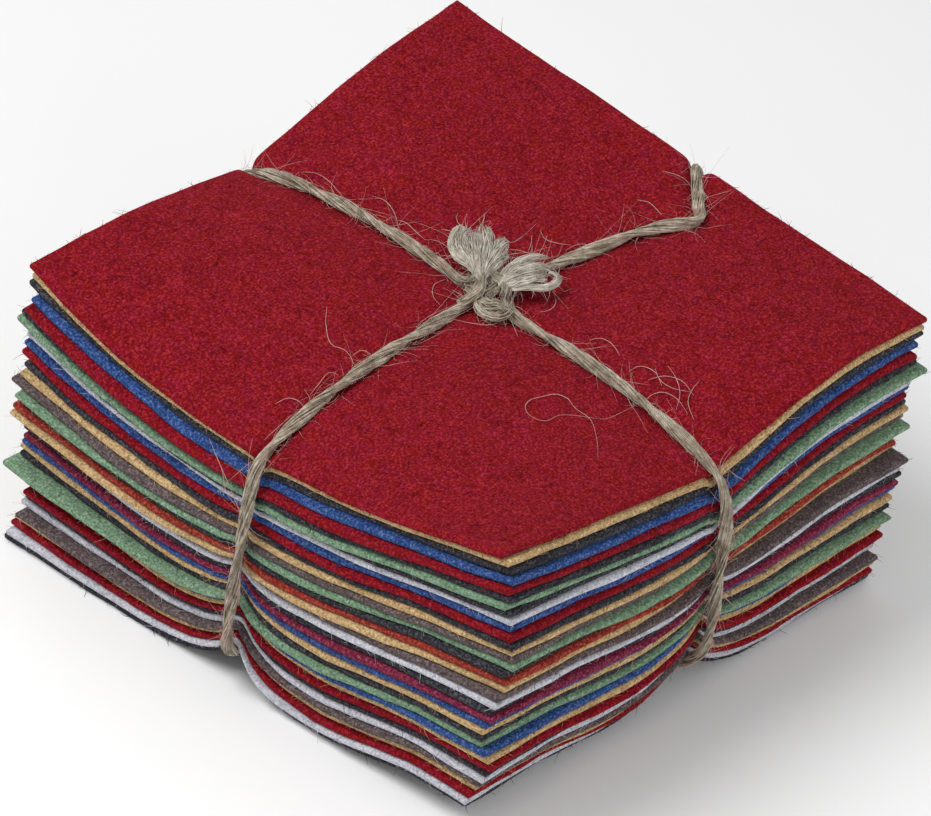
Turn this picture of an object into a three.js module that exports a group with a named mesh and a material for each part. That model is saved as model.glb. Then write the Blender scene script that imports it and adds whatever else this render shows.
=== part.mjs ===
// A stack of felt squares tied crosswise with jute twine.
// Millimetres, +Z up, lying on z = 0, with the middle of its box over the origin.
// The front-left side faces -Y, the front-right side +X, the back-left -X, the back-right +Y.

import * as THREE from 'three';

// Driving dimensions
const SIDE = 127;                 // nominal cut side of a square
const HALF = SIDE / 2;
const SHEET_GAP = 0.3;            // air between neighbouring sheets
const TWINE_RADIUS = 1.5;         // mean radius of the two-ply twine
const PLY_SWELL = 0.2;            // how far the two plies stand out, as a share of the radius
const TWIST_LENGTH = 26;          // length in which the plies make one full turn
const TWINE_STEP = 4.2;           // distance between the twine's cross-sections
const TWINE_SIDES = 8;
const CHANNEL = 3.5;              // the felt is level across the twine for this far on each side
const BITE_END = 12;              // and free of the twine's bite in the top sheet from here on
const GROOVE_REACH = 30;          // how far from the twine the underside is drawn up
const OUTER_LINE = 56;            // from here to the cut sides every sheet goes on straight
const LIFT_X = { start: 22, full: 46 };   // a lifted corner rises over this span along X
const LIFT_Y = { start: 5, full: 40 };    // and over this span along Y
const LOBE_PUFF = 1.2;            // how far each quarter of the top stands up between its sides
const CENTRE_TOP = 67.7;          // top sheet at the knot, before the twine's bite
const CENTRE_BITE = 0.8;          // how deep the twine presses the top sheet in at the knot
const CENTRE_GROOVE = 10;         // underside where the twine crosses itself
const GROOVE_FADE = 1.6;          // how quickly the channel below fades in the sheets above it
const GRID = [-OUTER_LINE, -30, -BITE_END, -CHANNEL, CHANNEL, BITE_END, 30, OUTER_LINE];

// The four quarters of the stack, each named by its corner. top and lift are the heights of
// the top sheet and of the bottom sheet at the corner. The four crowns say how far the top
// bows above its plain line along the quarter's X side, its Y side, the twine along X and the
// twine along Y. steepX and steepY say how quickly the channel under the stack falls away
// across X and across Y.
const QUARTERS = {
  front: {
    x: 1, y: -1, top: 71.0, lift: 4.5,
    sideX: -1.5, sideY: -0.5, twineX: -0.2, twineY: -0.6, steepX: 6, steepY: 2.6,
  },
  left: {
    x: -1, y: -1, top: 69.6, lift: 0.0,
    sideX: -3.0, sideY: 2.0, twineX: 0.6, twineY: -0.6, steepX: 2.5, steepY: 2.5,
  },
  right: {
    x: 1, y: 1, top: 68.4, lift: 0.0,
    sideX: 0.0, sideY: 4.0, twineX: -0.2, twineY: -3.0, steepX: 2.5, steepY: 2.6,
  },
  back: {
    x: -1, y: 1, top: 78.6, lift: 0.0,
    sideX: 0.0, sideY: 2.3, twineX: 0.6, twineY: -3.0, steepX: 2.5, steepY: 2.5,
  },
};

// Where the twine crosses the middle of each side: the height of the top sheet's face, how
// deep the twine presses it in, how late the sheet turns down towards the side (1 is a
// straight slope), and the height to which the twine draws the bottom sheet up.
const PINCHES = {
  frontLeft: { top: 58.3, bite: 0.8, turn: 3.2, groove: 7.6 },
  frontRight: { top: 60.9, bite: 0.8, turn: 3.4, groove: 9.4 },
  backLeft: { top: 65.2, bite: 2.0, turn: 3.4, groove: 8.0 },
  backRight: { top: 73.3, bite: 0.0, turn: 1, groove: 8.0 },
};

// The felts: colour, roughness
const FELTS = {
  red: { colour: 0xa3142a, roughness: 0.95 },
  gold: { colour: 0xc9a35c, roughness: 0.95 },
  charcoal: { colour: 0x2b2f33, roughness: 0.95 },
  blue: { colour: 0x284b8f, roughness: 0.95 },
  sage: { colour: 0x6f9375, roughness: 0.95 },
  white: { colour: 0xc6c9d2, roughness: 0.95 },
  taupe: { colour: 0x55484b, roughness: 0.95 },
  rust: { colour: 0x96201f, roughness: 0.95 },
  crimson: { colour: 0x821c3c, roughness: 0.95 },
};

// One row for each square, from the top down. The numbers say how far its cut sides stand
// out past the nominal square: the front-left side at the left and the front corner, the
// front-right side at the front and the right corner, the back-left side at the left corner
// and the back-right side at the right corner. skew is how far its back corner stands out of
// a parallelogram along X.
const SQUARE_COLUMNS = ['felt', 'frontLeftAtLeft', 'frontLeftAtFront', 'frontRightAtFront',
  'frontRightAtRight', 'backLeftAtLeft', 'backRightAtRight', 'skew'];
const SQUARES = [
  ['red', 0.0, -0.2, -0.8, 0.9, 0.2, 0.4, 3.1],
  ['gold', -0.4, -1.1, 0.2, 0.9, -0.5, 0.0, 0.6],
  ['charcoal', -0.5, -1.4, 1.4, 0.4, 0.2, 0.3, 0.0],
  ['blue', 0.8, -0.5, 2.6, 0.9, -1.8, -1.4, 0.4],
  ['red', 2.6, 0.5, 3.0, 1.6, -1.7, -2.6, 0.0],
  ['charcoal', 1.5, 0.1, 3.5, 1.2, -0.4, -1.5, -0.8],
  ['sage', 2.0, 0.4, 2.3, 3.1, 0.2, 0.7, 0.0],
  ['charcoal', 0.7, -0.5, 2.5, 1.0, -1.0, -1.5, 0.0],
  ['white', 0.2, -0.9, 3.2, 0.5, -1.0, -1.5, -0.6],
  ['blue', 0.6, -1.2, 3.0, -0.4, -0.9, -0.5, -1.2],
  ['red', 1.2, -0.5, 3.8, -0.2, -0.6, -0.8, -2.0],
  ['charcoal', 1.5, -1.1, 4.1, -0.3, -1.9, -0.5, -1.0],
  ['gold', 2.2, -1.4, 4.0, -0.3, -2.0, 0.2, -0.8],
  ['taupe', 3.5, -1.7, 3.7, -0.9, -0.7, 0.3, -2.4],
  ['sage', 4.2, -2.1, 4.2, 0.9, -3.0, 0.6, 0.9],
  ['charcoal', 2.7, -1.2, 2.9, -1.0, -2.2, -1.5, -0.5],
  ['rust', 3.2, -1.4, 3.5, -0.3, -1.6, -2.1, -1.0],
  ['gold', 3.6, -1.2, 3.2, -1.5, -1.1, -0.2, -2.2],
  ['taupe', -0.2, 0.0, 2.9, 2.2, -1.5, 0.1, 0.8],
  ['white', 0.2, 0.1, 2.8, 1.4, -1.5, -1.1, 0.3],
  ['charcoal', -0.9, 0.1, 1.5, 0.9, -1.2, -0.5, 0.0],
  ['crimson', -0.5, 0.5, 2.4, 1.4, -1.2, -1.1, 0.0],
  ['blue', -1.0, 0.3, 1.3, 0.4, -0.8, -0.8, 0.0],
  ['gold', -1.4, 0.3, 0.5, 1.2, -0.4, -1.7, 0.5],
  ['charcoal', -1.6, 0.0, -0.1, 1.0, 0.0, -2.0, 0.4],
  ['sage', 2.0, -0.7, -0.2, 2.6, 1.4, -3.0, 0.6],
  ['blue', -1.2, -0.3, 1.4, 0.2, -1.5, -2.8, 0.0],
  ['gold', -1.6, -1.3, 1.7, -0.4, -2.2, -2.5, 0.0],
  ['red', -0.3, -1.4, 2.2, 0.6, -2.8, -2.4, 0.2],
  ['charcoal', -1.5, -1.8, 1.0, -1.0, -2.3, -2.2, 0.0],
  ['white', -1.6, -1.5, 0.6, -1.5, -1.4, -2.6, 0.0],
  ['taupe', 1.0, -2.0, -0.3, 0.6, -2.2, -2.8, 1.0],
  ['gold', -0.5, -2.8, -1.6, -0.4, -0.8, -2.6, 0.7],
  ['red', -0.1, -1.8, -2.2, -0.6, -0.2, -2.6, 0.3],
  ['white', 0.7, -1.3, -3.1, -1.6, 0.0, -1.3, 0.0],
  ['charcoal', 0.1, -3.0, -4.0, -3.0, 1.0, -0.5, 0.0],
];

// The twine's way down each side. away is how far its middle stands out from the nominal
// square, along is its place along that side, and z its height.
const SIDE_RUNS = {
  frontLeft: [
    { away: 0.9, along: 1.4, z: 60.0 },
    { away: 2.7, along: 1.7, z: 58.4 },
    { away: 3.8, along: 1.8, z: 55.0 },
    { away: 4.0, along: 1.2, z: 46 },
    { away: 3.8, along: 0.2, z: 33 },
    { away: 3.2, along: -0.8, z: 20 },
    { away: 2.6, along: -1.3, z: 12.6 },
    { away: 2.2, along: -1.5, z: 9.2 },
    { away: 0.6, along: -1.6, z: 6.1 },
    { away: -1.8, along: -1.6, z: 5.3 },
  ],
  frontRight: [
    { away: 0.6, along: -0.4, z: 62.8 },
    { away: 2.8, along: -0.3, z: 60.9 },
    { away: 4.6, along: 0.0, z: 57.0 },
    { away: 5.1, along: 0.6, z: 50 },
    { away: 5.0, along: 1.0, z: 38 },
    { away: 4.8, along: 1.4, z: 28 },
    { away: 4.0, along: 1.7, z: 19 },
    { away: 2.8, along: 1.8, z: 15 },
    { away: 1.4, along: 1.8, z: 11.8 },
    { away: -0.4, along: 1.7, z: 8.9 },
    { away: -2.6, along: 1.6, z: 7.2 },
    { away: -5.0, along: 1.5, z: 6.9 },
  ],
  backLeft: [
    { away: 1.2, along: 0.0, z: 66.3 },
    { away: 3.1, along: 0.1, z: 64.5 },
    { away: 3.4, along: 0.2, z: 60.5 },
    { away: 4.0, along: 0.4, z: 50 },
    { away: 4.0, along: 0.5, z: 40 },
    { away: 3.8, along: 0.6, z: 28 },
    { away: 3.2, along: 0.7, z: 16 },
    { away: 3.0, along: 0.7, z: 9.8 },
    { away: 1.9, along: 0.7, z: 6.3 },
    { away: -0.6, along: 0.7, z: 5.4 },
  ],
  backRight: [
    { away: 1.4, along: 2.9, z: 75.3 },
    { away: 3.0, along: 2.8, z: 73.4 },
    { away: 3.6, along: 2.6, z: 69.5 },
    { away: 3.0, along: 2.0, z: 60 },
    { away: 2.7, along: 1.2, z: 44 },
    { away: 2.5, along: 0.6, z: 32 },
    { away: 2.0, along: 0.1, z: 17 },
    { away: 1.4, along: -0.2, z: 9.6 },
    { away: 0.2, along: -0.4, z: 6.4 },
    { away: -2.4, along: -0.5, z: 5.5 },
  ],
};

// Plan positions of the twine over the top, from the knot outwards. Over the back-right
// quarter it lies in a bend.
const TOP_RUNS = {
  frontLeft: [[0.9, -4.7], [1.0, -20], [1.0, -34], [1.0, -46], [1.1, -56]],
  frontRight: [[9.8, -0.2], [24, -0.3], [38, -0.3], [48, -0.4], [56, -0.4]],
  backLeft: [[-5.0, -0.1], [-22, -0.1], [-38, -0.1], [-48, 0.0], [-56, 0.0]],
  backRight: [
    [1.5, 4.9], [2.9, 20.5], [5.3, 30.6], [7.9, 39.6], [12.3, 46.9], [14.6, 50.2], [11.0, 54.2],
    [6.7, 58.8],
  ],
};

// Plan positions of the twine under the stack, each in the order of the loop it belongs to.
// The run along Y dips where it passes below the run along X.
const UNDER_RUNS = {
  alongX: [[50, 1.3], [38, 1.0], [18, 0.6], [0, 0.4], [-18, 0.4], [-38, 0.5], [-54, 0.6]],
  alongY: [[-0.5, 54], [-0.4, 38], [-0.3, 18], [-0.4, 0], [-0.8, -18], [-1.2, -38], [-1.5, -54]],
};
const TWINE_REACH = TWINE_RADIUS * (1 + PLY_SWELL);   // farthest that a ply stands from the middle
const TWINE_CLEAR = 0.35;         // air between the twine and the felt, or itself
const DIP_LENGTH = 26;            // half of the length in which the lower run dips

// The knot and its two frayed ends. An end comes out of a corner of the knot's outline, counted
// round from +X. turn is the way it points and rise how steeply it stands up, both in degrees.
const KNOT = { x: 2.4, y: 0.2, radiusX: 6.2, radiusY: 4.6, radiusZ: 3.0, wraps: 3, swell: 0.12 };
const KNOT_SIDES = 16;
const TUFTS = {
  left: { corner: 6, turn: 122, length: 12, width: 13, height: 5, rise: 19, locks: 6 },
  right: { corner: 3, turn: 54, length: 11, width: 8, height: 4.4, rise: 6, locks: 4 },
};
const TUFT_SEAT = 0.3;            // between the knot and the root of a frayed end
const KNOT_CLEAR = 0.45;          // knot above the top sheet
const TWINE_MATERIAL = { colour: 0xb9a888, roughness: 0.9 };

const lerp = THREE.MathUtils.lerp;
const clamp = THREE.MathUtils.clamp;

function quarterAt(x, y) {
  return Object.values(QUARTERS).find((q) => q.x * x >= 0 && q.y * y >= 0);
}

function pinchOfXSide(quarter) {
  return quarter.y < 0 ? PINCHES.frontLeft : PINCHES.backRight;
}

function pinchOfYSide(quarter) {
  return quarter.x < 0 ? PINCHES.backLeft : PINCHES.frontRight;
}

// Share of the twine's bite that reaches a point this far from the twine
function biteShare(distance) {
  return clamp((BITE_END - Math.abs(distance)) / (BITE_END - CHANNEL), 0, 1);
}

// How deep the twine presses the top sheet in
function biteDepth(x, y) {
  const q = quarterAt(x, y);
  const alongX = lerp(CENTRE_BITE, pinchOfYSide(q).bite, Math.abs(x) / HALF) * biteShare(y);
  const alongY = lerp(CENTRE_BITE, pinchOfXSide(q).bite, Math.abs(y) / HALF) * biteShare(x);
  return Math.max(alongX, alongY);
}

// Height of the stack's upper face: in each quarter a surface between the two runs of twine
// and the two sides of the stack.
function topHeight(x, y) {
  const q = quarterAt(x, y);
  const u = Math.abs(x) / HALF;
  const v = Math.abs(y) / HALF;
  const xSide = pinchOfXSide(q);
  const ySide = pinchOfYSide(q);
  const alongSideX = lerp(xSide.top, q.top, u) + q.sideX * Math.sin(Math.PI * u);
  const alongSideY = lerp(ySide.top, q.top, v) + q.sideY * Math.sin(Math.PI * v);
  const alongTwineX = lerp(CENTRE_TOP, ySide.top, u ** ySide.turn) + q.twineX * Math.sin(Math.PI * u);
  const alongTwineY = lerp(CENTRE_TOP, xSide.top, v ** xSide.turn) + q.twineY * Math.sin(Math.PI * v);
  const corners = lerp(lerp(CENTRE_TOP, ySide.top, u), lerp(xSide.top, q.top, u), v);
  const ruled = lerp(alongTwineX, alongSideX, v) + lerp(alongTwineY, alongSideY, u) - corners;
  return ruled + LOBE_PUFF * Math.sin(Math.PI * u) * Math.sin(Math.PI * v) - biteDepth(x, y);
}

// How far a lifted corner has curled up at a point
function cornerLift(x, y) {
  const ramp = (t, span) => clamp((Math.abs(t) - span.start) / (span.full - span.start), 0, 1);
  return quarterAt(x, y).lift * ramp(x, LIFT_X) * ramp(y, LIFT_Y);
}

// Height of the channel that the twine draws into the underside
function grooveHeight(x, y) {
  const q = quarterAt(x, y);
  const free = (t) => clamp((Math.abs(t) - CHANNEL) / (GROOVE_REACH - CHANNEL), 0, 1);
  const alongX = lerp(CENTRE_GROOVE, pinchOfYSide(q).groove, Math.abs(x) / HALF);
  const alongY = lerp(CENTRE_GROOVE, pinchOfXSide(q).groove, Math.abs(y) / HALF);
  return Math.max(alongX * (1 - free(y)) ** q.steepY, alongY * (1 - free(x)) ** q.steepX);
}

// Height of the surface that has the share f of the stack's thickness above it
function surfaceHeight(f, x, y) {
  return lerp(topHeight(x, y), cornerLift(x, y), f) + grooveHeight(x, y) * f ** GROOVE_FADE;
}

// The same surface, going on straight from the outermost grid lines, so that squares that
// stand out differently keep clear of each other
function layerHeight(f, x, y) {
  const past = (t) => Math.max((Math.abs(t) - OUTER_LINE) / (HALF - OUTER_LINE), 0);
  const innerX = clamp(x, -OUTER_LINE, OUTER_LINE);
  const innerY = clamp(y, -OUTER_LINE, OUTER_LINE);
  const sideX = Math.sign(x) * HALF;
  const sideY = Math.sign(y) * HALF;
  const inner = lerp(surfaceHeight(f, innerX, innerY), surfaceHeight(f, sideX, innerY), past(x));
  const outer = lerp(surfaceHeight(f, innerX, sideY), surfaceHeight(f, sideX, sideY), past(x));
  return lerp(inner, outer, past(y));
}

function namedRow(row) {
  return Object.fromEntries(SQUARE_COLUMNS.map((name, i) => [name, row[i]]));
}

// The four corners of a cut square; the back one completes a parallelogram
function cornersOf(square) {
  const front = new THREE.Vector2(HALF + square.frontRightAtFront, -HALF - square.frontLeftAtFront);
  const left = new THREE.Vector2(-HALF - square.backLeftAtLeft, -HALF - square.frontLeftAtLeft);
  const right = new THREE.Vector2(HALF + square.frontRightAtRight, HALF + square.backRightAtRight);
  const back = left.clone().add(right).sub(front);
  back.x -= square.skew;
  return { front, left, right, back };
}

// A point on the line from a to b where its coordinate along one axis has a given value
function crossing(a, b, axis, value) {
  const t = (value - a[axis]) / (b[axis] - a[axis]);
  return a.clone().lerp(b, t);
}

// Plan position of a grid point: inner points are the same on every sheet, and outer points
// lie on the sheet's own cut sides
function planPoint(corners, column, row) {
  const { front, left, right, back } = corners;
  const last = GRID.length + 1;
  const lowX = column === 0;
  const highX = column === last;
  const lowY = row === 0;
  const highY = row === last;
  if (lowY && lowX) return left;
  if (lowY && highX) return front;
  if (highY && lowX) return back;
  if (highY && highX) return right;
  if (lowY) return crossing(left, front, 'x', GRID[column - 1]);
  if (highY) return crossing(back, right, 'x', GRID[column - 1]);
  if (lowX) return crossing(left, back, 'y', GRID[row - 1]);
  if (highX) return crossing(front, right, 'y', GRID[row - 1]);
  return new THREE.Vector2(GRID[column - 1], GRID[row - 1]);
}

// The two triangles of a grid cell, counter-clockwise from above. Their shared edge points at
// the knot, and it is the same one on every sheet.
function cellTriangles(at, column, row) {
  const corner = [at(column, row), at(column + 1, row), at(column + 1, row + 1), at(column, row + 1)];
  const middle = GRID.length / 2;
  const towardsKnot = (column < middle) === (row < middle);
  const order = towardsKnot ? [0, 1, 2, 0, 2, 3] : [1, 2, 3, 1, 3, 0];
  return order.map((i) => corner[i]);
}

// One felt square: an upper and a lower face on the same grid, and the cut side round them
function feltGeometry(square, index) {
  const lines = GRID.length + 2;
  const last = lines - 1;
  const corners = cornersOf(square);
  const above = index / SQUARES.length;
  const below = (index + 1) / SQUARES.length;
  const gap = index === SQUARES.length - 1 ? 0 : SHEET_GAP;
  const upper = (column, row) => row * lines + column;
  const lower = (column, row) => lines * lines + upper(column, row);
  const positions = new Float32Array(2 * lines * lines * 3);
  const indices = [];
  for (let row = 0; row < lines; row += 1) {
    for (let column = 0; column < lines; column += 1) {
      const { x, y } = planPoint(corners, column, row);
      positions.set([x, y, layerHeight(above, x, y)], 3 * upper(column, row));
      positions.set([x, y, layerHeight(below, x, y) + gap], 3 * lower(column, row));
    }
  }
  for (let row = 0; row < last; row += 1) {
    for (let column = 0; column < last; column += 1) {
      indices.push(...cellTriangles(upper, column, row));
      indices.push(...cellTriangles(lower, column, row).reverse());
    }
  }
  const rim = [];
  for (let i = 0; i < last; i += 1) rim.push([i, 0]);
  for (let i = 0; i < last; i += 1) rim.push([last, i]);
  for (let i = last; i > 0; i -= 1) rim.push([i, last]);
  for (let i = last; i > 0; i -= 1) rim.push([0, i]);
  rim.forEach((here, i) => {
    const next = rim[(i + 1) % rim.length];
    indices.push(lower(...here), lower(...next), upper(...next));
    indices.push(lower(...here), upper(...next), upper(...here));
  });
  const geometry = new THREE.BufferGeometry();
  geometry.setAttribute('position', new THREE.BufferAttribute(positions, 3));
  geometry.setIndex(indices);
  return geometry;
}

// A closed bar bent along a curve. section gives the radius at an angle and an arc length.
function barAlong(curve, steps, sides, section) {
  const length = curve.getLength();
  const geometry = new THREE.CylinderGeometry(1, 1, 1, sides, steps);
  const frames = curve.computeFrenetFrames(steps);
  const centres = curve.getSpacedPoints(steps);
  const position = geometry.getAttribute('position');
  for (let i = 0; i < position.count; i += 1) {
    const step = Math.round((position.getY(i) + 0.5) * steps);
    const share = Math.hypot(position.getX(i), position.getZ(i));
    const angle = Math.atan2(position.getX(i), position.getZ(i));
    const radius = share * section(angle, (step / steps) * length);
    const point = centres[step].clone()
      .addScaledVector(frames.normals[step], radius * Math.sin(angle))
      .addScaledVector(frames.binormals[step], -radius * Math.cos(angle));
    position.setXYZ(i, point.x, point.y, point.z);
  }
  return geometry;
}

function twineGeometry(points) {
  const curve = new THREE.CatmullRomCurve3(points, false, 'centripetal');
  const steps = Math.round(curve.getLength() / TWINE_STEP);
  const plies = (angle, along) =>
    TWINE_RADIUS * (1 + PLY_SWELL * Math.cos(2 * (angle - (2 * Math.PI * along) / TWIST_LENGTH)));
  return barAlong(curve, steps, TWINE_SIDES, plies);
}

// Turns a side's table into points, with the outward direction of that side
function sidePoints(name) {
  const place = {
    frontLeft: (r) => new THREE.Vector3(r.along, -HALF - r.away, r.z),
    frontRight: (r) => new THREE.Vector3(HALF + r.away, r.along, r.z),
    backLeft: (r) => new THREE.Vector3(-HALF - r.away, r.along, r.z),
    backRight: (r) => new THREE.Vector3(r.along, HALF + r.away, r.z),
  }[name];
  return SIDE_RUNS[name].map(place);
}

// Height on which the twine rests over the top: the highest that the felt comes under it
function restHeight(x, y) {
  const under = [[TWINE_REACH, 0], [-TWINE_REACH, 0], [0, TWINE_REACH], [0, -TWINE_REACH]];
  return Math.max(...under.map(([dx, dy]) => layerHeight(0, x + dx, y + dy)));
}

function topPoints(name) {
  const above = TWINE_REACH + TWINE_CLEAR;
  return TOP_RUNS[name].map(([x, y]) => new THREE.Vector3(x, y, restHeight(x, y) + above));
}

// The twine lies in the channel under the stack
function underPointsX() {
  const below = TWINE_REACH + TWINE_CLEAR;
  return UNDER_RUNS.alongX.map(([x, y]) => new THREE.Vector3(x, y, grooveHeight(x, 0) - below));
}

function underPointsY() {
  const below = TWINE_REACH + TWINE_CLEAR;
  return UNDER_RUNS.alongY.map(([x, y]) => {
    const dip = (2 * TWINE_REACH + TWINE_CLEAR) * Math.max(1 - Math.abs(y) / DIP_LENGTH, 0);
    return new THREE.Vector3(x, y, grooveHeight(0, y) - below - dip);
  });
}

// A whole turn of twine: out from the knot, down one side, under, up the other and back
function loopPoints(out, under, back) {
  return [
    ...topPoints(out),
    ...sidePoints(out),
    ...under,
    ...sidePoints(back).reverse(),
    ...topPoints(back).reverse(),
  ];
}

function knotHeight() {
  return topHeight(KNOT.x, KNOT.y) + KNOT_CLEAR + KNOT.radiusZ;
}

function knotSwell(angle) {
  return 1 + KNOT.swell * Math.cos(2 * KNOT.wraps * angle);
}

// The knot: a flattened ball with the swell of its wraps
function knotGeometry() {
  const geometry = new THREE.SphereGeometry(1, KNOT_SIDES, KNOT_SIDES / 2);
  const position = geometry.getAttribute('position');
  const middle = knotHeight();
  for (let i = 0; i < position.count; i += 1) {
    const point = new THREE.Vector3().fromBufferAttribute(position, i);
    const around = Math.atan2(point.z, point.x);
    const swell = lerp(1, knotSwell(around), Math.hypot(point.x, point.z));
    position.setXYZ(i,
      KNOT.x + KNOT.radiusX * point.x * swell,
      KNOT.y - KNOT.radiusY * point.z * swell,
      middle + KNOT.radiusZ * point.y);
  }
  return geometry;
}

// A corner of the knot's outline at half its height
function knotCorner(number) {
  const angle = (2 * Math.PI * number) / KNOT_SIDES;
  const swell = knotSwell(angle);
  return new THREE.Vector3(
    KNOT.x + KNOT.radiusX * Math.cos(angle) * swell,
    KNOT.y + KNOT.radiusY * Math.sin(angle) * swell,
    knotHeight());
}

// A frayed end: a fan that widens from the knot, with a lobe for each lock of fibre
function tuftGeometry(tuft) {
  const geometry = new THREE.SphereGeometry(1, 12, 6);
  const position = geometry.getAttribute('position');
  const turn = THREE.MathUtils.degToRad(tuft.turn);
  const outwards = new THREE.Vector3(Math.cos(turn), Math.sin(turn), 0);
  const sideways = new THREE.Vector3(-Math.sin(turn), Math.cos(turn), 0);
  const tilt = Math.tan(THREE.MathUtils.degToRad(tuft.rise));
  const root = knotCorner(tuft.corner).addScaledVector(outwards, TUFT_SEAT);
  for (let i = 0; i < position.count; i += 1) {
    const point = new THREE.Vector3().fromBufferAttribute(position, i);
    const out = (point.x + 1) / 2;
    const fan = lerp(0.45, 1, out);
    const lobe = 1 + 0.1 * out * Math.cos(tuft.locks * Math.PI * point.z);
    const along = out * tuft.length * lobe;
    const across = -point.z * (tuft.width / 2) * fan;
    const place = root.clone().addScaledVector(outwards, along).addScaledVector(sideways, across);
    place.z += point.y * (tuft.height / 2) * fan * lobe + along * tilt;
    position.setXYZ(i, place.x, place.y, place.z);
  }
  return geometry;
}

function addMesh(group, name, geometry, look) {
  const material = new THREE.MeshStandardMaterial({ color: look.colour, roughness: look.roughness });
  const mesh = new THREE.Mesh(geometry, material);
  mesh.name = name;
  group.add(mesh);
}

const stack = new THREE.Group();

SQUARES.map(namedRow).forEach((square, index) => {
  const number = String(index + 1).padStart(2, '0');
  addMesh(stack, `felt_${number}_${square.felt}`, feltGeometry(square, index), FELTS[square.felt]);
});

const loopX = loopPoints('frontRight', underPointsX(), 'backLeft');
const loopY = loopPoints('backRight', underPointsY(), 'frontLeft');
addMesh(stack, 'twine_along_x', twineGeometry(loopX), TWINE_MATERIAL);
addMesh(stack, 'twine_along_y', twineGeometry(loopY), TWINE_MATERIAL);
addMesh(stack, 'knot', knotGeometry(), TWINE_MATERIAL);
addMesh(stack, 'frayed_end_left', tuftGeometry(TUFTS.left), TWINE_MATERIAL);
addMesh(stack, 'frayed_end_right', tuftGeometry(TUFTS.right), TWINE_MATERIAL);

// The middle of the whole box comes over the origin
const middle = new THREE.Box3().setFromObject(stack).getCenter(new THREE.Vector3());
stack.position.set(-middle.x, -middle.y, 0);

export default stack;
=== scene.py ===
# The looks of a stack of felt squares, tied crosswise with jute twine.
# Sizes in this script are millimetres in the frame of the nominal square, and they are turned
# into Blender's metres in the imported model's frame where a mesh is made.

import math

import bpy
import numpy as np
from mathutils import Matrix, Vector


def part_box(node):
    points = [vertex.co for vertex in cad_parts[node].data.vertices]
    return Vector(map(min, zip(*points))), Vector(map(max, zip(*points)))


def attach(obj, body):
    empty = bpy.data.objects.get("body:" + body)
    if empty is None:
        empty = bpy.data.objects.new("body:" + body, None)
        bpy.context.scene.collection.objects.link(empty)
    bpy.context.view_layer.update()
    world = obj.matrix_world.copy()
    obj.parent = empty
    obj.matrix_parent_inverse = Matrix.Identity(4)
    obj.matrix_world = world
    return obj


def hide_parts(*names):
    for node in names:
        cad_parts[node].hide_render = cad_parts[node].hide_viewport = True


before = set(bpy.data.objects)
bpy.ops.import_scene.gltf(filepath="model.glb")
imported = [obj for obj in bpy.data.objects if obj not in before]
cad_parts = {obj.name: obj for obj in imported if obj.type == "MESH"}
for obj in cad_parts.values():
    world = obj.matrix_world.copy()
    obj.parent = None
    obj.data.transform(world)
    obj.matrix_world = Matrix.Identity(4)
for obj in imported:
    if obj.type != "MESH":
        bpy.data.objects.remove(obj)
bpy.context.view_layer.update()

MM = 0.001
SEED = 36

# Stack
SIDE = 127.0
HALF = SIDE / 2
CREASE = 3.0            # how softly the stack is creased along the twine
STRAIGHT_FROM = 60.0    # sheets go on straight from this distance to their cut sides
LIFT_X = (22.0, 46.0)   # span along X in which the lifted front corner rises
LIFT_Y = (5.0, 40.0)
LOBE_PUFF = 1.2         # how far each quarter of the top stands up between its sides
CENTRE_TOP = 67.7       # height of the top sheet under the knot
CENTRE_GROOVE = 10.0    # height of the channel under the stack, at its middle
GROOVE_FADE = 1.6       # how fast the channel fades towards the top
GROOVE_FLAT = 1.6       # half width of the channel's flat ridge, and how far its sides reach
GROOVE_REACH = 30.0
NOTCH_POWER = 14        # how close to the cut sides the channel's notch stays
BITE_WIDTH = 2.6        # reach across the twine of the notch and of the bite into the top
EDGE_BITE_WIDTH = 1.5
CENTRE_BITE = 0.9       # depth of the bite into the top sheet away from its sides
BITE_POWER = 10         # how close to the cut sides the deeper bite stays
BITE_FADE = 3           # how fast the bite fades towards the bottom
SHEET_GAP = 0.16        # nominal air between neighbouring sheets
RIM_ROUND = 0.75        # how far the soft cut edge rounds over
RIM_ROWS = 6
RIM_FULLNESS = 2.3      # 2 is a round edge, more is squarer
SIDE_POWER = 24         # how close to the cut sides their unevenness stays

# Small waves that neighbouring sheets share: size, then for X and for Y the length, how the
# wave shifts from sheet to sheet, and its start
WAVES = (
    (0.20, (9.3, 0.75, 1.7), (11.1, -0.6, 0.0)),
    (0.14, (5.7, -1.1, 0.0), (6.3, 0.8, 0.6)),
)
WAVE_FADE = 12          # how fast the waves come in below the top and above the bottom
EDGE_WAVE_LENGTHS = np.array((11.0, 19.0, 37.0, 70.0))
EDGE_WAVE_SIZES = np.array((0.05, 0.08, 0.12, 0.16))

# Heights of the top sheet at each corner, of the lifted corner below it, how far the top bows
# along the two sides and the two runs of twine of each quarter, and how steeply the channel
# under the stack falls away
QUARTER_COLUMNS = ("top", "lift", "side_x", "side_y", "twine_x", "twine_y", "steep_x", "steep_y")
QUARTERS = {
    "front": (71.0, 4.5, -1.5, -0.5, -0.2, -0.6, 6.0, 2.6),
    "left": (69.6, 0.0, -3.0, 2.0, 0.6, -0.6, 3.0, 2.5),
    "right": (68.4, 0.0, 0.0, 4.0, -0.2, -3.0, 2.5, 2.6),
    "back": (78.6, 0.0, 0.0, 2.3, 0.6, -3.0, 2.5, 2.5),
}

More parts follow.
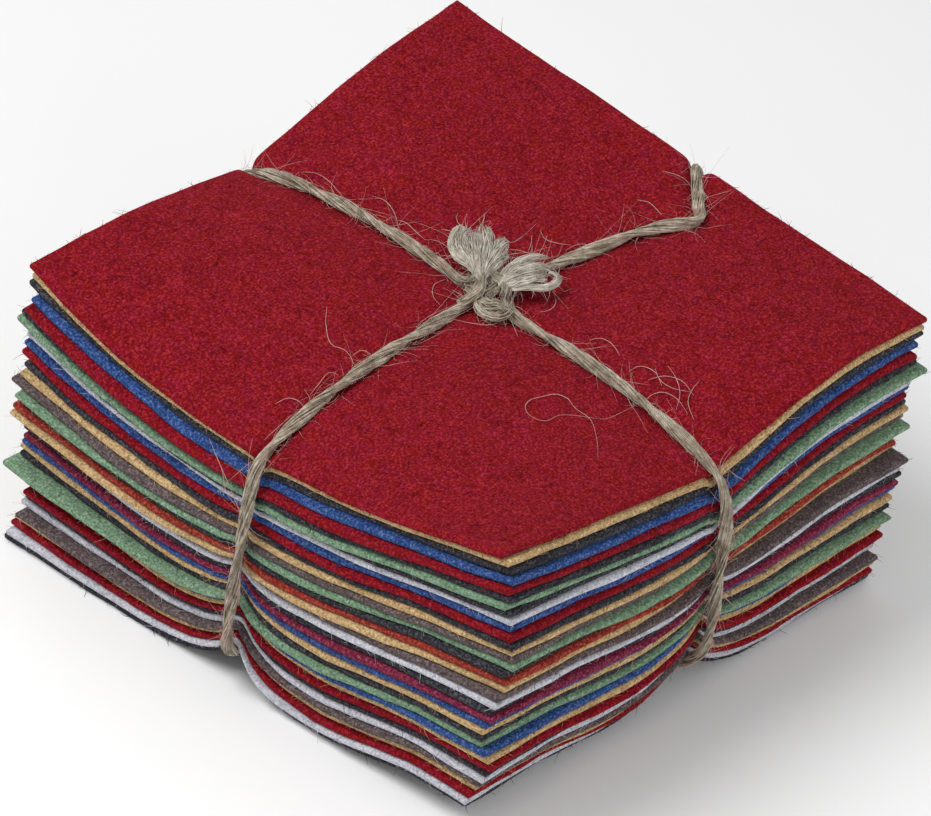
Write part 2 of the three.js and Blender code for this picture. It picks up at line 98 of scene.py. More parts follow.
# Where the twine crosses the middle of each side: height of the top sheet, how late it turns
# down, height of the channel below, how much higher the notch at the very edge is, and how deep
# the twine bites into the top sheet's edge
PINCH_COLUMNS = ("top", "turn", "groove", "notch", "bite")
PINCHES = {
    "front_left": (58.3, 3.2, 7.2, 2.0, 1.6),
    "front_right": (60.9, 3.4, 9.6, 2.6, 1.6),
    "back_left": (65.2, 3.4, 8.0, 2.4, 2.9),
    "back_right": (73.3, 1.0, 8.0, 2.4, 2.8),
}
X_SIDE_OF = {"front": "front_left", "left": "front_left", "right": "back_right", "back": "back_right"}
Y_SIDE_OF = {"front": "front_right", "left": "back_left", "right": "front_right", "back": "back_left"}

# Felt colours: the darker heather, the wool's main colour and its light fibres
FELTS = {
    "red": ((78, 5, 17), (125, 12, 26), (174, 52, 62)),
    "gold": ((122, 92, 62), (186, 154, 108), (228, 206, 166)),
    "charcoal": ((20, 20, 26), (46, 45, 52), (104, 102, 106)),
    "blue": ((22, 34, 76), (42, 72, 130), (112, 134, 176)),
    "sage": ((66, 88, 72), (110, 140, 112), (168, 190, 166)),
    "white": ((140, 140, 152), (190, 190, 199), (226, 226, 232)),
    "taupe": ((52, 42, 46), (90, 77, 78), (142, 130, 128)),
    "rust": ((88, 24, 20), (140, 44, 36), (196, 108, 88)),
    "crimson": ((74, 12, 36), (116, 32, 58), (168, 92, 112)),
}

WOOL_STOPS = (0.33, 0.50, 0.69)
HUE_SPREAD = 0.035      # how far the clouds turn a felt's hue, and how much they darken it
CLOUD_DEPTH = 0.6

# One row for each square from the top down: how far its cut sides stand out at their ends,
# and how far its back corner leaves a parallelogram
SQUARE_COLUMNS = ("felt", "front_left_at_left", "front_left_at_front", "front_right_at_front",
                  "front_right_at_right", "back_left_at_left", "back_right_at_right", "skew")
SQUARES = (
    ("red", 0.0, -0.2, -0.8, 0.9, 0.2, 0.4, 3.1),
    ("gold", -0.4, -1.1, 0.2, 0.9, -0.5, 0.0, 0.6),
    ("charcoal", -0.5, -1.4, 1.4, 0.4, 0.2, 0.3, 0.0),
    ("blue", 0.8, -0.5, 2.6, 0.9, -1.8, -1.4, 0.4),
    ("red", 2.6, 0.5, 3.0, 1.6, -1.7, -2.6, 0.0),
    ("charcoal", 1.5, 0.1, 3.5, 1.2, -0.4, -1.5, -0.8),
    ("sage", 2.0, 0.4, 2.3, 3.1, 0.2, 0.7, 0.0),
    ("charcoal", 0.7, -0.5, 2.5, 1.0, -1.0, -1.5, 0.0),
    ("white", 0.2, -0.9, 3.2, 0.5, -1.0, -1.5, -0.6),
    ("blue", 0.6, -1.2, 3.0, -0.4, -0.9, -0.5, -1.2),
    ("red", 1.2, -0.5, 3.8, -0.2, -0.6, -0.8, -2.0),
    ("charcoal", 1.5, -1.1, 4.1, -0.3, -1.9, -0.5, -1.0),
    ("gold", 2.2, -1.4, 4.0, -0.3, -2.0, 0.2, -0.8),
    ("taupe", 3.5, -1.7, 3.7, -0.9, -0.7, 0.3, -2.4),
    ("sage", 4.2, -2.1, 4.2, 0.9, -3.0, 0.6, 0.9),
    ("charcoal", 2.7, -1.2, 2.9, -1.0, -2.2, -1.5, -0.5),
    ("rust", 3.2, -1.4, 3.5, -0.3, -1.6, -2.1, -1.0),
    ("gold", 3.6, -1.2, 3.2, -1.5, -1.1, -0.2, -2.2),
    ("taupe", -0.2, 0.0, 2.9, 2.2, -1.5, 0.1, 0.8),
    ("white", 0.2, 0.1, 2.8, 1.4, -1.5, -1.1, 0.3),
    ("charcoal", -0.9, 0.1, 1.5, 0.9, -1.2, -0.5, 0.0),
    ("crimson", -0.5, 0.5, 2.4, 1.4, -1.2, -1.1, 0.0),
    ("blue", -1.0, 0.3, 1.3, 0.4, -0.8, -0.8, 0.0),
    ("gold", -1.4, 0.3, 0.5, 1.2, -0.4, -1.7, 0.5),
    ("charcoal", -1.6, 0.0, -0.1, 1.0, 0.0, -2.0, 0.4),
    ("sage", 2.0, -0.7, -0.2, 2.6, 1.4, -3.0, 0.6),
    ("blue", -1.2, -0.3, 1.4, 0.2, -1.5, -2.8, 0.0),
    ("gold", -1.6, -1.3, 1.7, -0.4, -2.2, -2.5, 0.0),
    ("red", -0.3, -1.4, 2.2, 0.6, -2.8, -2.4, 0.2),
    ("charcoal", -1.5, -1.8, 1.0, -1.0, -2.3, -2.2, 0.0),
    ("white", -1.6, -1.5, 0.6, -1.5, -1.4, -2.6, 0.0),
    ("taupe", 1.0, -2.0, -0.3, 0.6, -2.2, -2.8, 1.0),
    ("gold", -0.5, -2.8, -1.6, -0.4, -0.8, -2.6, 0.7),
    ("red", -0.1, -1.8, -2.2, -0.6, -0.2, -2.6, 0.3),
    ("white", 0.7, -1.3, -3.1, -1.6, 0.0, -1.3, 0.0),
    ("charcoal", 0.1, -3.0, -4.0, -3.0, 1.0, -0.5, 0.0),
)
SHEETS = len(SQUARES)
FINE_STEP = 1.5         # grid step of a sheet beside the twine
COARSE_STEP = 4.2       # and elsewhere
FINE_REACH = 13.5
TOP_FINENESS = 0.5      # the top and bottom sheets have finer grids

# Twine
TWINE_RADIUS = 1.5
TWIST_LENGTH = 42.0     # length in which the two plies make one full turn
PLY_OFFSET = 0.62       # middle of a ply from the middle of the twine
PLY_LAYERS = ((4, 0.26, 0.36), (12, 0.60, 0.17))  # strands in a ply: count, offset, radius
STRAND_TWIST = 26.0     # length in which the strands make one full turn round their ply
STRAND_SIDES = 3
STREAK_SHIFT = 37.0     # how far the streaks of each strand lie from those of the last
TWINE_STEP = 1.25       # between a twine path's points
CURVE_SAMPLES = 24      # points between two given ones, before they are spaced evenly
PRESS_WIDTH = 2.6       # reach along a cut side in which the twine presses it in
PRESS_CLEAR = 0.15      # nominal air between a pressed side and the twine
TWINE_SINK = 0.1        # how deep the twine's nominal radius reaches into the top sheet
KNOT_RISE = 1.6         # how far a run rises to the knot at its inner end
DIP_LENGTH = 26.0       # half length of the dip in which the run along Y passes under the other

# Which way each side faces, along X and along Y
CROSSINGS = {"front_left": (0, -1), "front_right": (1, 0), "back_left": (-1, 0), "back_right": (0, 1)}

# The twine's way down each side: how far its middle stands out, its place along the side and
# its height
SIDE_RUNS = {
    "front_left": (
        (-0.2, 1.4, 58.2), (1.4, 1.6, 57.0), (2.6, 1.8, 54.2), (3.0, 1.2, 46.0), (2.9, 0.2, 33.0),
        (2.5, -0.8, 21.0), (2.0, -1.3, 14.0), (1.2, -1.5, 10.6), (-0.2, -1.6, 8.5), (-2.4, -1.6, 7.4),
    ),
    "front_right": (
        (-0.3, -0.4, 60.8), (1.5, -0.3, 59.6), (3.2, 0.0, 56.6), (4.2, 0.6, 50.0), (4.1, 1.0, 38.0),
        (3.8, 1.4, 28.0), (3.2, 1.9, 20.5), (2.4, 2.2, 16.8), (1.0, 2.4, 13.6), (-0.9, 2.4, 11.2),
        (-3.2, 2.3, 9.8),
    ),
    "back_left": (
        (-0.6, 0.5, 63.6), (0.9, 0.4, 62.3), (2.0, 0.4, 59.4), (2.8, 0.4, 50.0), (2.9, 0.5, 40.0),
        (2.8, 0.6, 28.0), (2.3, 0.7, 17.0), (1.5, 0.7, 11.6), (0.0, 0.7, 8.9), (-2.4, 0.7, 7.8),
    ),
    "back_right": (
        (-1.0, 3.0, 72.1), (0.4, 2.8, 70.8), (1.6, 2.6, 67.4), (2.0, 2.0, 60.0), (1.8, 1.2, 44.0),
        (1.7, 0.6, 32.0), (1.4, 0.1, 18.0), (0.9, -0.2, 11.6), (-0.5, -0.4, 8.9), (-2.8, -0.5, 7.8),
    ),
}

# Plan positions of the twine over the top, from the knot outwards, the place past the side that
# the bite into the top sheet goes on to, and the plan positions under the stack
TOP_RUNS = {
    "front_left": ((1.2, -2.6), (0.9, -4.7), (1.0, -20.0), (1.0, -34.0), (1.0, -46.0), (1.1, -57.0)),
    "front_right": ((7.0, -1.4), (9.8, -0.6), (24.0, -0.3), (38.0, -0.3), (48.0, -0.4), (57.0, -0.4)),
    "back_left": (
        (-2.4, 0.1), (-5.0, 0.3), (-12.0, 0.9), (-22.0, 1.3), (-38.0, 1.3), (-48.0, 1.0), (-57.0, 0.6),
    ),
    "back_right": (
        (1.6, 2.6), (1.8, 6.5), (2.9, 20.5), (5.3, 30.6), (7.9, 39.6), (12.3, 46.9), (14.6, 50.2),
        (11.0, 54.2), (6.7, 58.8),
    ),
}
TOP_RUN_ENDS = {"front_left": (1.4, -70.0), "front_right": (70.0, -0.3), "back_left": (-70.0, 0.2),
                "back_right": (2.7, 64.2)}
UNDER_RUNS = {
    "along_x": ((52, 2.1), (38, 1.5), (18, 0.7), (0, 0.4), (-18, 0.4), (-38, 0.5), (-54, 0.6)),
    "along_y": ((-0.5, 54), (-0.4, 38), (-0.3, 18), (-0.4, 0), (-0.8, -18), (-1.2, -38), (-1.5, -54)),
}

# Camera, found from the corners of the squares in the photograph of 931 by 816 pixels
PHOTO_WIDTH = 931
PHOTO_HEIGHT = 816
FOCAL_PIXELS = 7370.0
CAMERA_AZIMUTH = math.radians(38.11)
CAMERA_ELEVATION = math.radians(35.86)
CAMERA_ROLL = math.radians(6.94)
CAMERA_DISTANCE = 1500.0
CAMERA_TARGET = np.array((-5.53, 7.24, 33.0))
SENSOR_WIDTH = 36.0
CAMERA_REACH = 20.0     # metres

# Bundles of fibres of the knot and the two frayed ends. Each guide is a row of pixels of the
# photograph, with the height above the floor and the bundle's half width there.
KNOT_BUNDLES = (
    ((466, 286, 68.6, 1.3), (484, 299, 69.0, 1.5), (500, 306, 69.0, 1.5), (514, 313, 68.4, 1.3)),
    ((457, 304, 68.6, 1.2), (469, 298, 69.8, 1.3), (478, 291, 71.2, 1.2), (482, 280, 72.0, 0.9),
     (481, 271, 72.4, 0.8)),
    ((482, 294, 69.8, 1.1), (479, 305, 69.4, 1.4), (487, 315, 69.0, 1.5), (500, 316, 69.0, 1.5),
     (508, 307, 69.6, 1.4), (502, 295, 70.6, 1.1)),
    ((470, 281, 69.6, 1.2), (484, 276, 70.4, 1.4), (498, 279, 71.0, 1.4), (507, 289, 71.2, 1.2),
     (503, 299, 70.4, 1.1)),
    ((520, 275, 68.8, 1.3), (508, 281, 69.6, 1.4), (495, 289, 70.6, 1.4), (484, 296, 70.8, 1.0)),
    ((478, 299, 69.6, 1.2), (488, 305, 70.0, 1.5), (499, 307, 70.0, 1.4), (508, 316, 68.6, 1.2)),
)
LEFT_LOCKS = (
    ((481, 278, 72.2, 0.5), (482, 264, 72.6, 1.1), (484, 249, 73.2, 1.9), (485, 236, 73.2, 2.0),
     (482, 226, 72.4, 1.2)),
    ((479, 279, 72.0, 0.5), (471, 266, 72.2, 0.9), (459, 258, 72.2, 1.0), (452, 247, 72.0, 0.8),
     (453, 236, 72.2, 0.8), (460, 227, 72.4, 0.7), (468, 232, 72.2, 0.5)),
    ((480, 278, 72.1, 0.5), (472, 263, 72.8, 1.2), (464, 249, 73.0, 1.4), (462, 236, 72.8, 1.2),
     (470, 228, 72.2, 0.7)),
    ((482, 277, 72.1, 0.5), (490, 262, 72.6, 1.2), (498, 250, 73.0, 1.7), (504, 242, 72.6, 1.5),
     (510, 246, 71.8, 0.8)),
    ((483, 278, 71.9, 0.5), (492, 268, 71.8, 1.0), (501, 261, 71.6, 1.2), (508, 254, 71.0, 0.8)),
    ((480, 277, 72.3, 0.5), (476, 259, 73.4, 1.3), (474, 242, 73.8, 1.7), (474, 231, 73.2, 1.2)),
)
RIGHT_LOCKS = (
    ((497, 284, 71.0, 0.7), (508, 271, 71.4, 1.1), (520, 262, 71.4, 1.3), (535, 257, 71.0, 1.0),
     (549, 258, 70.6, 0.5)),
    ((499, 286, 71.2, 0.8), (512, 277, 72.0, 1.4), (527, 270, 72.2, 1.6), (541, 267, 71.6, 1.2),
     (551, 271, 70.8, 0.6)),
    ((501, 289, 70.8, 0.7), (515, 288, 71.0, 1.0), (530, 287, 71.0, 1.0), (545, 288, 70.8, 0.9),
     (556, 283, 70.8, 0.8), (557, 275, 70.8, 0.7), (548, 272, 70.8, 0.4)),
    ((500, 287, 71.0, 0.8), (515, 283, 71.6, 1.2), (532, 279, 71.8, 1.4), (547, 279, 71.2, 0.9)),
)
GUIDE_STEP = 0.4
LOCK_FIBRES = 54        # fibres of each bundle of a frayed end, and their radius
LOCK_RADIUS = 0.11
LOCK_POINTS = 12
LOCK_FLATNESS = 0.62    # height of a bundle as a share of its width
KNOT_FIBRES = 34
KNOT_FIBRE_RADIUS = 0.17
CORE_FIBRES = 6         # thicker fibres that fill the middle of each bundle
CORE_RADIUS = 0.4
CORE_SPREAD = 0.4       # half width of that middle as a share of the bundle's

# Stray fibres: rows of pixels of the photograph on the top sheet, and on the two visible sides
TOP_STRAYS = (
    ((636, 405), (620, 413), (604, 419), (580, 416), (560, 415), (545, 421), (532, 417), (525, 408),
     (530, 400), (545, 396), (555, 394), (567, 398), (575, 408), (590, 419), (597, 440), (598, 458)),
    ((327, 307), (326, 325), (332, 345), (345, 350), (356, 367)),
    ((302, 172), (315, 173), (325, 178), (342, 195)),
    ((395, 220), (405, 222), (415, 231), (425, 240)),
    ((636, 200), (648, 202), (662, 215)),
    ((662, 171), (674, 174), (686, 180), (692, 189)),
    ((540, 230), (545, 239), (556, 243), (570, 245)),
    ((310, 395), (318, 385), (330, 372), (338, 375)),
    ((264, 440), (275, 430), (292, 415)),
    ((425, 240), (434, 240), (446, 246), (455, 258)),
    ((440, 305), (433, 296), (434, 285), (446, 279)),
    ((452, 290), (458, 293), (466, 298)),
    ((452, 319), (470, 323), (490, 325), (506, 319)),
    ((441, 229), (450, 231), (457, 233)),
    ((485, 214), (484, 219), (481, 226)),
    ((458, 213), (456, 219), (461, 226)),
    ((532, 235), (531, 244), (528, 252)),
    ((505, 250), (517, 250), (530, 254), (540, 260)),
    ((540, 312), (550, 310), (556, 302), (553, 293)),
    ((642, 404), (650, 396), (662, 392), (676, 398), (688, 414)),
    ((655, 368), (660, 380), (672, 388), (690, 392)),
    ((648, 380), (664, 376), (682, 381), (694, 396)),
    ((668, 366), (676, 378), (680, 394), (676, 410)),
    ((628, 372), (640, 366), (655, 372), (662, 386)),
    ((700, 380), (692, 390), (688, 402), (694, 420)),
    ((275, 404), (288, 398), (300, 402), (306, 412)),
    ((292, 430), (300, 417), (316, 408), (328, 410)),
    ((352, 356), (362, 350), (372, 356), (374, 366)),
    ((590, 340), (600, 338), (612, 344), (620, 356)),
    ((372, 196), (384, 200), (394, 212), (398, 226)),
    ((566, 250), (580, 244), (596, 246), (608, 240)),
)
SIDE_STRAYS = {
    "front_left": (
        ((209, 438), (219, 462), (231, 490), (241, 516)),
        ((238, 571), (240, 588), (238, 607)),
        ((214, 452), (222, 470), (226, 492), (236, 506)),
    ),
    "front_right": (
        ((727, 468), (735, 475), (745, 481)),
        ((709, 545), (715, 551), (722, 561)),
        ((717, 590), (724, 596), (731, 604)),
        ((714, 583), (722, 590), (727, 600)),
        ((719, 596), (726, 599), (735, 607)),
    ),
}
STRAY_LIFT = 0.35       # above the top sheet
STRAY_OUT = 3.6         # outside the nominal square's side
STRAY_RADIUS = 0.075
STRAY_STEP = 1.2

# Fuzz: loose fibres of the felt's cut sides, of the top sheet's nap and of the twine
EDGE_FIBRES = 560       # for each sheet
EDGE_FIBRE_LENGTH = (0.6, 2.0)
NAP_FIBRES = 4200
NAP_LENGTH = (0.9, 3.2)
NAP_RISE = (0.02, 0.16)
FUZZ_RADIUS = (0.045, 0.085)
FUZZ_POINTS = 3
FUZZ_BEND = 0.35
TWINE_HAIRS = 520       # for each run
HAIR_LENGTH = (1.2, 5.0)
HAIR_RADIUS = (0.04, 0.065)
HAIR_POINTS = 6
HAIR_BEND = 0.65
HAIRS_ABOVE = 9.0       # height from which the twine has hairs
WISPS = 34              # short loose fibres round each bundle of the knot and the frayed ends
WISP_LENGTH = (0.8, 3.4)
FLOOR_CLEAR = 0.1
TOP_CLEAR = 0.1
FREE_RIM = 0.6          # fibres over this rim of the top sheet may hang down past it

# Light: azimuth and elevation in degrees, distance, size in metres, power in watts
KEY_LIGHT = (-30.0, 58.0, 0.8, 0.42, 3.6)
FILL_LIGHT = (82.0, 26.0, 1.0, 0.6, 2.0)
WORLD_STRENGTH = 0.56
FLOOR_REACH = 2.5       # metres
FLOOR_GREYS = (0.93, 0.96)

# Jute: dark, main and light fibres; the frayed ends' and the loose fibres' colours also hold painted light
JUTE_STOPS = (0.36, 0.50, 0.64)
TWINE_COLOURS = ((88, 74, 60), (170, 156, 134), (238, 228, 212))
# Frayed ends: pale cream jute, with painted highlight in the lightest colour and painted shade of the gaps
# between fibres in the darkest
FRAYED_COLOURS_AND_PAINTED_LIGHT = ((124, 110, 88), (216, 208, 190), (254, 252, 244))
# Loose fibres: jute whose pink and pale tint is painted highlight
STRAY_COLOURS_WITH_PAINTED_HIGHLIGHT = ((176, 122, 112), (214, 164, 154), (242, 218, 210))


def smooth_abs(value):
    """The distance from the twine's line, rounded off at the line itself."""
    return np.sqrt(value ** 2 + CREASE ** 2) - CREASE


def ramp(value, span):
    return np.clip((np.abs(value) - span[0]) / (span[1] - span[0]), 0.0, 1.0)


def pick(x, y, values):
    """For each point, the value of the quarter that it lies in."""
    chosen = np.where(x >= 0, values["right"], values["back"])
    front = np.where(x >= 0, values["front"], values["left"])
    return np.where(y < 0, front, chosen)


def quarter_value(column, x, y):
    i = QUARTER_COLUMNS.index(column)
    return pick(x, y, {name: row[i] for name, row in QUARTERS.items()})


def pinch_value(column, sides, x, y):
    i = PINCH_COLUMNS.index(column)
    return pick(x, y, {name: PINCHES[side][i] for name, side in sides.items()})


def mix(a, b, share):
    return a + (b - a) * share


def distance_to_run(x, y, run):
    """Plan distance from each point to a line of plan positions."""
    nearest = np.full(np.shape(x), np.inf)
    for a, b in zip(run, run[1:]):
        ax, ay = a
        dx, dy = b[0] - ax, b[1] - ay
        t = np.clip(((x - ax) * dx + (y - ay) * dy) / (dx * dx + dy * dy), 0.0, 1.0)
        nearest = np.minimum(nearest, np.hypot(x - ax - t * dx, y - ay - t * dy))
    return nearest


def bite_depth(x, y):
    """How deep the twine presses into the top sheet."""
    edge = np.maximum(np.abs(x), np.abs(y)) / HALF
    along_x = np.abs(x) > np.abs(y)
    at_edge = np.where(along_x, pinch_value("bite", Y_SIDE_OF, x, y), pinch_value("bite", X_SIDE_OF, x, y))
    close = edge ** BITE_POWER
    nearest = np.full(np.shape(x), np.inf)
    for name, run in TOP_RUNS.items():
        nearest = np.minimum(nearest, distance_to_run(x, y, (*run, TOP_RUN_ENDS[name])))
    depth, width = mix(CENTRE_BITE, at_edge, close), mix(BITE_WIDTH, EDGE_BITE_WIDTH, close)
    return depth * np.exp(-(nearest / width) ** 2)


def top_height(x, y):
    """The upper face of the stack, before the twine presses into it."""
    reach = smooth_abs(HALF)
    u = smooth_abs(x) / reach
    v = smooth_abs(y) / reach
    x_top = pinch_value("top", X_SIDE_OF, x, y)
    y_top = pinch_value("top", Y_SIDE_OF, x, y)
    corner = quarter_value("top", x, y)
    bow_u, bow_v = np.sin(np.pi * u), np.sin(np.pi * v)
    side_x = mix(x_top, corner, u) + quarter_value("side_x", x, y) * bow_u
    side_y = mix(y_top, corner, v) + quarter_value("side_y", x, y) * bow_v
    turn_x = u ** pinch_value("turn", Y_SIDE_OF, x, y)
    turn_y = v ** pinch_value("turn", X_SIDE_OF, x, y)
    twine_x = mix(CENTRE_TOP, y_top, turn_x) + quarter_value("twine_x", x, y) * bow_u
    twine_y = mix(CENTRE_TOP, x_top, turn_y) + quarter_value("twine_y", x, y) * bow_v
    corners = mix(mix(CENTRE_TOP, y_top, u), mix(x_top, corner, u), v)
    ruled = mix(twine_x, side_x, v) + mix(twine_y, side_y, u) - corners
    return ruled + LOBE_PUFF * bow_u * bow_v


def line_of_run(name, at):
    """Where the twine under the stack lies across its run, at places along it."""
    along, across = (0, 1) if name == "along_x" else (1, 0)
    run = sorted(UNDER_RUNS[name], key=lambda point: point[along])
    return np.interp(at, [point[along] for point in run], [point[across] for point in run])


def groove_height(x, y):
    """The channel that the twine draws into the underside, with a narrow notch at the edges."""
    span = (GROOVE_FLAT, GROOVE_REACH)
    channels = []
    for run, along, across, sides, steep in (
        ("along_x", x, y, Y_SIDE_OF, "steep_y"),
        ("along_y", y, x, X_SIDE_OF, "steep_x"),
    ):
        away = across - line_of_run(run, along)
        out = np.abs(along) / HALF
        ridge = mix(CENTRE_GROOVE, pinch_value("groove", sides, x, y), out)
        notch = pinch_value("notch", sides, x, y) * out ** NOTCH_POWER
        channel = ridge * (1 - ramp(away, span)) ** quarter_value(steep, x, y)
        channels.append(channel + notch * np.exp(-(away / BITE_WIDTH) ** 2))
    return np.maximum(*channels)


def unevenness(share, x, y):
    """Small waves that neighbouring sheets share."""
    level = share * SHEETS
    waves = 0.0
    for size, (x_length, x_shift, x_start), (y_length, y_shift, y_start) in WAVES:
        along_x = np.sin(x / x_length + x_shift * level + x_start)
        waves = waves + size * along_x * np.cos(y / y_length + y_shift * level + y_start)
    return waves * np.minimum(1.0, WAVE_FADE * share * (1 - share))


def surface_height(share, x, y):
    lift = quarter_value("lift", x, y) * ramp(x, LIFT_X) * ramp(y, LIFT_Y)
    height = mix(top_height(x, y), lift, share) + groove_height(x, y) * share ** GROOVE_FADE
    return height - bite_depth(x, y) * (1 - share) ** BITE_FADE + unevenness(share, x, y)


def layer_height(share, x, y):
    """Height of the surface with this share of the stack above it. It goes on straight to the
    cut sides, so that sheets that stand out differently keep the same slope there."""
    x, y = np.asarray(x, float), np.asarray(y, float)
    inner_x = np.clip(x, -STRAIGHT_FROM, STRAIGHT_FROM)
    inner_y = np.clip(y, -STRAIGHT_FROM, STRAIGHT_FROM)
    past_x = np.maximum((np.abs(x) - STRAIGHT_FROM) / (HALF - STRAIGHT_FROM), 0.0)
    past_y = np.maximum((np.abs(y) - STRAIGHT_FROM) / (HALF - STRAIGHT_FROM), 0.0)
    side_x = np.where(past_x > 0, np.sign(x) * HALF, inner_x)
    side_y = np.where(past_y > 0, np.sign(y) * HALF, inner_y)
    inner = mix(surface_height(share, inner_x, inner_y), surface_height(share, side_x, inner_y), past_x)
    outer = mix(surface_height(share, inner_x, side_y), surface_height(share, side_x, side_y), past_x)
    return mix(inner, outer, past_y)


def square_corners(square):
    """Plan positions of the left, front, back and right corners of a cut square."""
    row = dict(zip(SQUARE_COLUMNS, square))
    left = np.array((-HALF - row["back_left_at_left"], -HALF - row["front_left_at_left"]))
    front = np.array((HALF + row["front_right_at_front"], -HALF - row["front_left_at_front"]))
    right = np.array((HALF + row["front_right_at_right"], HALF + row["back_right_at_right"]))
    back = left + right - front - np.array((row["skew"], 0.0))
    return left, front, back, right


def node_name(index):
    return f"felt_{index + 1:02d}_{SQUARES[index][0]}"


def frame_shift():
    """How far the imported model's frame lies from the nominal square's."""
    low = np.array(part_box(node_name(SHEETS - 1))[0]) / MM
    corners = np.array(square_corners(SQUARES[-1]))
    return np.array((*(low[:2] - corners.min(axis=0)), 0.0))


SHIFT = frame_shift()


def make_piece(name, points, faces, material, uvs=None):
    """A mesh object from points in millimetres."""
    mesh = bpy.data.meshes.new(name)
    mesh.from_pydata(((points + SHIFT) * MM).tolist(), [], faces)
    mesh.polygons.foreach_set("use_smooth", np.ones(len(mesh.polygons), bool))
    if uvs is not None:
        layer = mesh.uv_layers.new(name="along_and_around")
        corner_points = np.zeros(len(mesh.loops), np.int32)
        mesh.loops.foreach_get("vertex_index", corner_points)
        layer.data.foreach_set("uv", uvs[corner_points].astype(np.float32).ravel())
    mesh.materials.append(material)
    mesh.update()
    piece = bpy.data.objects.new(name, mesh)
    bpy.context.scene.collection.objects.link(piece)
    return piece


# Sheets of felt

def grid_lines(fineness):
    """Positions across a sheet, closer together beside the twine."""
    fine = np.arange(0.0, FINE_REACH, FINE_STEP * fineness)
    coarse = np.linspace(FINE_REACH, HALF, round((HALF - FINE_REACH) / (COARSE_STEP * fineness)) + 1)
    half = np.concatenate((fine, coarse)) / HALF
    return np.concatenate((-half[:0:-1], half))


def edge_waves(random):
    """How a cut side wanders: a sum of gentle waves along it."""
    sizes = EDGE_WAVE_SIZES * random.uniform(0.5, 1.3, len(EDGE_WAVE_SIZES))
    starts = random.uniform(0, 2 * np.pi, len(EDGE_WAVE_SIZES))
    waves = list(zip(sizes, EDGE_WAVE_LENGTHS, starts))
    return lambda at: sum(size * np.sin(2 * np.pi * at / length + start) for size, length, start in waves)


def twine_beside(name, height):
    """How far out and where along a side the twine passes at this height."""
    rows = sorted(SIDE_RUNS[name], key=lambda row: row[2])
    heights = [row[2] for row in rows]
    return [np.interp(height, heights, [row[i] for row in rows]) for i in (0, 1)]


class Sheet:
    """One felt square: where its points lie."""

    def __init__(self, index):
        self.index = index
        self.corners = square_corners(SQUARES[index])
        random = np.random.default_rng(SEED + index)
        self.waves = [edge_waves(random) for _ in range(4)]
        self.above = index / SHEETS
        self.below = (index + 1) / SHEETS
        self.gap = 0.0 if index == SHEETS - 1 else SHEET_GAP
        self.press = {name: self.pressed_in(name, s, t) for name, (s, t) in CROSSINGS.items()}

    def pressed_in(self, name, s, t):
        """Where the twine presses this side in, and how far."""
        along = 0.0
        for _ in range(3):
            x, y = self.ruled(s or along / HALF, t or along / HALF)
            away, along = twine_beside(name, float(layer_height(self.above, x, y)) - 1.0)
        stands_out = max(abs(x), abs(y)) - HALF
        return along, max(0.0, stands_out - (away - TWINE_RADIUS + PRESS_CLEAR))

    def ruled(self, s, t):
        left, front, back, right = self.corners
        low, high = (1 - t) / 2, (1 + t) / 2
        x = low * mix(left[0], front[0], (1 + s) / 2) + high * mix(back[0], right[0], (1 + s) / 2)
        y = low * mix(left[1], front[1], (1 + s) / 2) + high * mix(back[1], right[1], (1 + s) / 2)
        return x, y

    def dent(self, name, at):
        along, depth = self.press[name]
        return depth * np.exp(-((at - along) / PRESS_WIDTH) ** 2)

    def plan(self, s, t, out):
        """Plan position at shares s and t across the square, this far outside its cut side."""
        x, y = self.ruled(s, t)
        near_x, near_y = np.abs(s) ** SIDE_POWER, np.abs(t) ** SIDE_POWER
        right = self.waves[0](y) - self.dent("front_right", y)
        left = self.waves[1](y) - self.dent("back_left", y)
        back = self.waves[2](x) - self.dent("back_right", x)
        front = self.waves[3](x) - self.dent("front_left", x)
        x_out, y_out = np.where(s > 0, right, left), np.where(t > 0, back, front)
        return x + np.sign(s) * near_x * (out + x_out), y + np.sign(t) * near_y * (out + y_out)

    def point(self, s, t, out, share):
        """A point at this share of the way from the upper to the lower face."""
        x, y = self.plan(s, t, out)
        upper = layer_height(self.above, x, y)
        lower = layer_height(self.below, x, y) + self.gap
        return np.stack((x, y, mix(upper, lower, share)), axis=-1)


def rim_profile(share):
    """How far the cut side stands out at this share of the sheet's thickness."""
    bulge = 1 - np.abs(2 * share - 1) ** RIM_FULLNESS
    return RIM_ROUND * (bulge ** (1 / RIM_FULLNESS) - 1)


def rim_order(count):
    """Grid positions round the rim of a square grid, counter-clockwise from the left corner."""
    last = count - 1
    around = [(i, 0) for i in range(last)] + [(last, i) for i in range(last)]
    around += [(i, last) for i in range(last, 0, -1)] + [(0, i) for i in range(last, 0, -1)]
    return np.array(around)


